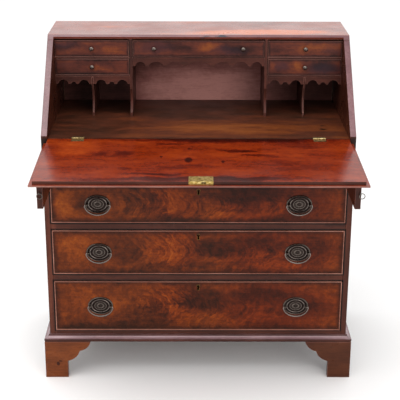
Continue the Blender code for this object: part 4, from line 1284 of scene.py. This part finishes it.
def plate_mesh():
    """One stamped oval backplate: beaded rim, inner oval and a fluted rosette."""
    steps, count = 96, 30
    shape = bmesh.new()

    def on_plate(share, x, z, turn):
        y = -PLATE_THICKNESS / 2 - plate_height(share, turn)
        return shape.verts.new((PLATE_SIZE[0] / 2 * share * x, y, PLATE_SIZE[1] / 2 * share * z))

    shares = [ring / count for ring in range(1, count + 1)]
    rings = [
        [on_plate(share, x, z, math.atan2(z, x)) for x, z in around(steps)] for share in shares
    ]
    middle = on_plate(0, 0, 0, 0)
    for i in range(steps):
        shape.faces.new((middle, rings[0][i], rings[0][i - 1]))
    for share, pair in zip(shares[1:], zip(rings, rings[1:])):
        # ridge bands take the paler bronze: wear and a painted highlight
        rubbed = any(abs(share - ridge) < width for ridge, width in PLATE_RIDGES)
        for face in skin(shape, pair, ends=False):
            face.material_index = int(rubbed)
    back = [shape.verts.new((vert.co.x, 0.3 * MM, vert.co.z)) for vert in rings[-1]]
    skin(shape, [rings[-1], back], ends=False)
    shape.faces.new(back)
    return mesh_from(shape, "backplate")


def post_mesh():
    """A turned post: a collar on the plate, a waist and a round head that holds the bail."""
    profile = rounded_profile(
        [
            (5.0 * MM, -1.0 * MM),
            (5.0 * MM, 2.6 * MM),
            (3.2 * MM, 4.0 * MM),
            (2.9 * MM, 5.6 * MM),
            (POST_RADIUS, 7.4 * MM),
            (POST_RADIUS + 0.4 * MM, 9.8 * MM),
            (POST_RADIUS - 0.6 * MM, 12.4 * MM),
            (1.6 * MM, 13.6 * MM),
            (0.1 * MM, 13.8 * MM),
        ],
        3,
    )
    shape = lathe(profile, 28)
    shape.transform(Matrix.Rotation(math.pi / 2, 4, "X"))
    return mesh_from(shape, "post")


def bail_mesh():
    """The swinging handle: half an oval, thicker at the bottom, with pins at its ends."""
    shoulder = POST_SPACING / 2 + POST_RADIUS + 1.3 * MM
    inner = POST_SPACING / 2 + 0.5 * MM
    points = [(-inner, 0, 0), (-shoulder, 0, 0)]
    radii = [0.6 * BAIL_WIRE, 0.75 * BAIL_WIRE]
    count = 44
    first = math.radians(8)
    for i in range(count + 1):
        turn = first + (math.pi - 2 * first) * i / count
        points.append((-BAIL_HALF_WIDTH * math.cos(turn), 0, -BAIL_DROP * math.sin(turn)))
        radii.append(BAIL_WIRE * (0.82 + 0.42 * math.sin(turn) ** 3))
    points += [(shoulder, 0, 0), (inner, 0, 0)]
    radii += [0.75 * BAIL_WIRE, 0.6 * BAIL_WIRE]
    return mesh_from(tube("bail", points, radii, sides=5), "bail")


def make_handles(level, plates, posts, bail):
    body = f"drawer_{level}"
    for side in SIDES:
        pivot = Vector(JOINTS[f"bail_{level}_{side}_swing"]["pos_m"])
        face_y = pivot.y + BAIL_BEHIND
        plate = soften(link(f"backplate_{level}_{side}", plates.copy(), "bronze", "rubbed_bronze_and_highlight"), 60)
        plate.location = (pivot.x, face_y, pivot.z)
        attach(plate, body, "dark_bronze")
        for end, sign in SIDES.items():
            post = soften(link(f"post_{level}_{side}_{end}", posts.copy(), "bronze"), 60)
            post.location = (pivot.x + sign * POST_SPACING / 2, face_y, pivot.z)
            attach(post, body, "dark_bronze")
        # the bail takes the paler bronze: wear and a painted highlight
        swing = soften(link(f"cast_bail_{level}_{side}", bail.copy(), "rubbed_bronze_and_highlight"), 60)
        swing.location = pivot
        attach(swing, f"bail_{level}_{side}", "dark_bronze", f"bail_{level}_{side}")


def cockbead(low, high, face_y):
    """Four mitred strips with a rounded nose, let in round the front's edge."""
    left, right = low.x + BEAD_GAP, high.x - BEAD_GAP
    bottom, top = low.z + BEAD_GAP, high.z - TOP_GAP
    corners = ((left, bottom, 1, 1), (right, bottom, -1, 1), (right, top, -1, -1), (left, top, 1, -1))
    radius = BEAD_WIDTH / 2
    nose = [(0.0, BEAD_DEPTH), (0.0, -0.5 * BEAD_OUT)]
    for i in range(5):
        turn = math.pi * (1 - i / 4)
        nose.append((radius + radius * math.cos(turn), radius - BEAD_OUT - radius * math.sin(turn)))
    nose.append((BEAD_WIDTH, BEAD_DEPTH))
    shape = bmesh.new()
    rows = [
        [shape.verts.new((x + sx * inset, face_y + out, z + sz * inset)) for inset, out in nose]
        for x, z, sx, sz in corners
    ]
    for row, following in zip(rows, rows[1:] + rows[:1]):
        for k in range(len(nose)):
            m = (k + 1) % len(nose)
            shape.faces.new((row[k], following[k], following[m], row[m]))
    return mesh_from(shape, "cockbead")


def make_long_drawer(level):
    body = f"drawer_{level}"
    low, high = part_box(f"drawer_front_{level}")
    face_y = high.y - FRONT_THICKNESS
    middle_x = (low.x + high.x) / 2
    key_z = high.z - KEYHOLE_DROP
    behind = 0.15 * MM
    inset = BEAD_GAP + behind
    panel = block(
        (low.x + inset, face_y, low.z + inset),
        (high.x - inset, high.y, high.z - TOP_GAP - behind),
    )
    outline = [(middle_x + x, key_z + z) for x, z in keyhole(*KEYHOLE)]
    hole = extruded(outline, face_y - MM, face_y + 14 * MM)
    panel = carve(panel, hole)
    front = link(f"veneered_front_{level}", mesh_from(panel, "front"), f"flame_{level}")
    soften(front, 30)
    attach(front, body, "flame_mahogany", f"drawer_front_{level}")
    bead = soften(link(f"cockbead_{level}", cockbead(low, high, face_y), "bead"), 30)
    attach(bead, body, "case_mahogany")
    # the thread escutcheon is a thin brass wall round the keyhole
    outer = [(middle_x + x, key_z + z) for x, z in keyhole(*ESCUTCHEON)]
    rim = carve(
        extruded(outer, face_y - 0.35 * MM, face_y + 3 * MM),
        extruded(outline, face_y - MM, face_y + 5 * MM),
    )
    rim = soften(link(f"escutcheon_{level}", mesh_from(rim, "escutcheon"), "old_brass"), 30)
    attach(rim, body, "brass")
    make_drawer_box(level, body)


def make_drawer_box(level, body):
    """Oak sides dovetailed to the front, a lower back and a bottom board."""
    low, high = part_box(f"drawer_box_{level}")
    wall = DRAWER_WALL
    ends = ((-1, low.x), (1, high.x))
    shape = bmesh.new()

    def add_board(low_corner, high_corner):
        mesh = mesh_from(block(low_corner, high_corner), "board")
        shape.from_mesh(mesh)
        bpy.data.meshes.remove(mesh)

    for sign, edge in ends:
        near, far = sorted((edge, edge - sign * wall))
        add_board((near, low.y, low.z), (far, high.y, high.z))
    obj = link(f"oak_sides_{level}", mesh_from(shape, "oak_sides"), "lining_y", "lining_y")
    ease(obj, 1.5 * MM, 3)
    attach(obj, body, "oak_lining", f"drawer_box_{level}")
    shape = bmesh.new()
    left, right = low.x + wall, high.x - wall
    add_board((left, high.y - wall, low.z + 9 * MM), (right, high.y, high.z - 6 * MM))
    add_board((left, low.y, low.z + 2 * MM), (right, high.y, low.z + DRAWER_BOTTOM))
    obj = link(f"oak_back_and_bottom_{level}", mesh_from(shape, "oak_back"), "lining_x", "lining_x")
    ease(obj, 0.6 * MM)
    attach(obj, body, "oak_lining")
    # lapped dovetails: the sides' tails, seen in the ends of the front
    tails = bmesh.new()
    room = high.z - low.z
    count = max(2, round(room / TAIL_PITCH))
    pitch = room / count
    narrow, wide = 0.26 * pitch, 0.38 * pitch
    root, tip = low.y + 0.5 * MM, low.y - TAIL_REACH
    for sign, edge in ends:
        near, far = sorted((edge + sign * 0.02 * MM, edge - sign * 8 * MM))
        for i in range(count):
            z = low.z + pitch * (i + 0.5)
            outline = [(root, z - narrow), (tip, z - wide), (tip, z + wide), (root, z + narrow)]
            skin(tails, [[tails.verts.new((x, *point)) for point in outline] for x in (near, far)])
    obj = link(f"dovetails_{level}", mesh_from(tails, "dovetails"), "lining_y")
    soften(obj, 20)
    attach(obj, body, "oak_lining")


def make_long_drawers():
    plates, posts, bail = plate_mesh(), post_mesh(), bail_mesh()
    for level in LEVELS:
        make_long_drawer(level)
        make_handles(level, plates, posts, bail)


# ---- the interior ---------------------------------------------------------------------
def knob_mesh():
    """A small turned knob with a flattened dome, a neck and a collar."""
    profile = rounded_profile(
        [
            (0.62 * KNOB_RADIUS, -0.5 * MM),
            (0.64 * KNOB_RADIUS, 0.8 * MM),
            (0.40 * KNOB_RADIUS, 1.8 * MM),
            (0.36 * KNOB_RADIUS, 3.6 * MM),
            (0.60 * KNOB_RADIUS, 5.6 * MM),
            (0.96 * KNOB_RADIUS, 8.0 * MM),
            (0.94 * KNOB_RADIUS, 10.2 * MM),
            (0.60 * KNOB_RADIUS, 12.4 * MM),
            (0.02 * KNOB_RADIUS, KNOB_LENGTH),
        ],
        4,
    )
    shape = lathe(profile, 32)
    shape.transform(Matrix.Rotation(math.pi / 2, 4, "X"))
    return mesh_from(shape, "knob")


def make_small_drawers():
    knob = knob_mesh()
    rows = [f"small_drawer_{row}_{side}" for row in ("upper", "lower") for side in SIDES]
    for node in rows + ["small_drawer_centre"]:
        low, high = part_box(node)
        front_y = low.y + KNOB_LENGTH
        middle = (low.x + high.x) / 2
        front = block(
            (low.x + SMALL_GAP, front_y, low.z + SMALL_GAP / 2),
            (high.x - SMALL_GAP, front_y + SMALL_FRONT, high.z - SMALL_GAP),
        )
        obj = link(f"{node}_front", mesh_from(front, "small_front"), node, "interior_edge")
        ease(obj, 0.7 * MM)
        attach(obj, node, "interior_mahogany", node)
        box = block((low.x, front_y + SMALL_FRONT, low.z), (high.x, high.y, high.z - 3 * MM))
        room = block(
            (low.x + SMALL_WALL, front_y, low.z + SMALL_WALL),
            (high.x - SMALL_WALL, high.y - SMALL_WALL, high.z + MM),
        )
        obj = link(f"{node}_box", mesh_from(carve(box, room), "small_box"), "lining_y", "lining_y")
        ease(obj, 0.6 * MM)
        attach(obj, node, "oak_lining")
        offsets = (-CENTRE_KNOB_X, CENTRE_KNOB_X) if node.endswith("centre") else (0,)
        for number, offset in enumerate(offsets):
            # knobs take the paler bronze throughout: wear and a painted highlight
            obj = soften(link(f"{node}_knob_{number + 1}", knob.copy(), "rubbed_bronze_and_highlight"), 60)
            obj.location = (middle + offset, front_y, (low.z + high.z) / 2)
            attach(obj, node, "dark_bronze")


def make_interior():
    """Partitions, shelves with scalloped valances, and pigeonhole dividers."""
    slot = "interior_mahogany"
    for side in SIDES:
        for board, grain in (
            ("partition", "z"),
            ("pigeonhole_divider", "z"),
            ("drawer_shelf", "x"),
            ("pigeonhole_shelf", "x"),
        ):
            node = f"{board}_{side}"
            finished(node, f"waxed_{node}", f"interior_{grain}", "interior_edge", slot)
    finished("centre_shelf", "waxed_centre_shelf", "interior_x", "interior_edge", slot)


# ---- everything -----------------------------------------------------------------------
set_camera()
set_studio()
MATERIALS = {
    **case_finishes(),
    **writing_finishes(),
    **interior_finishes(),
    **flame_finishes(),
    **metal_finishes(),
}
make_case()
make_backboards()
make_fall()
make_hinges()
make_lopers()
make_long_drawers()
make_small_drawers()
make_interior()
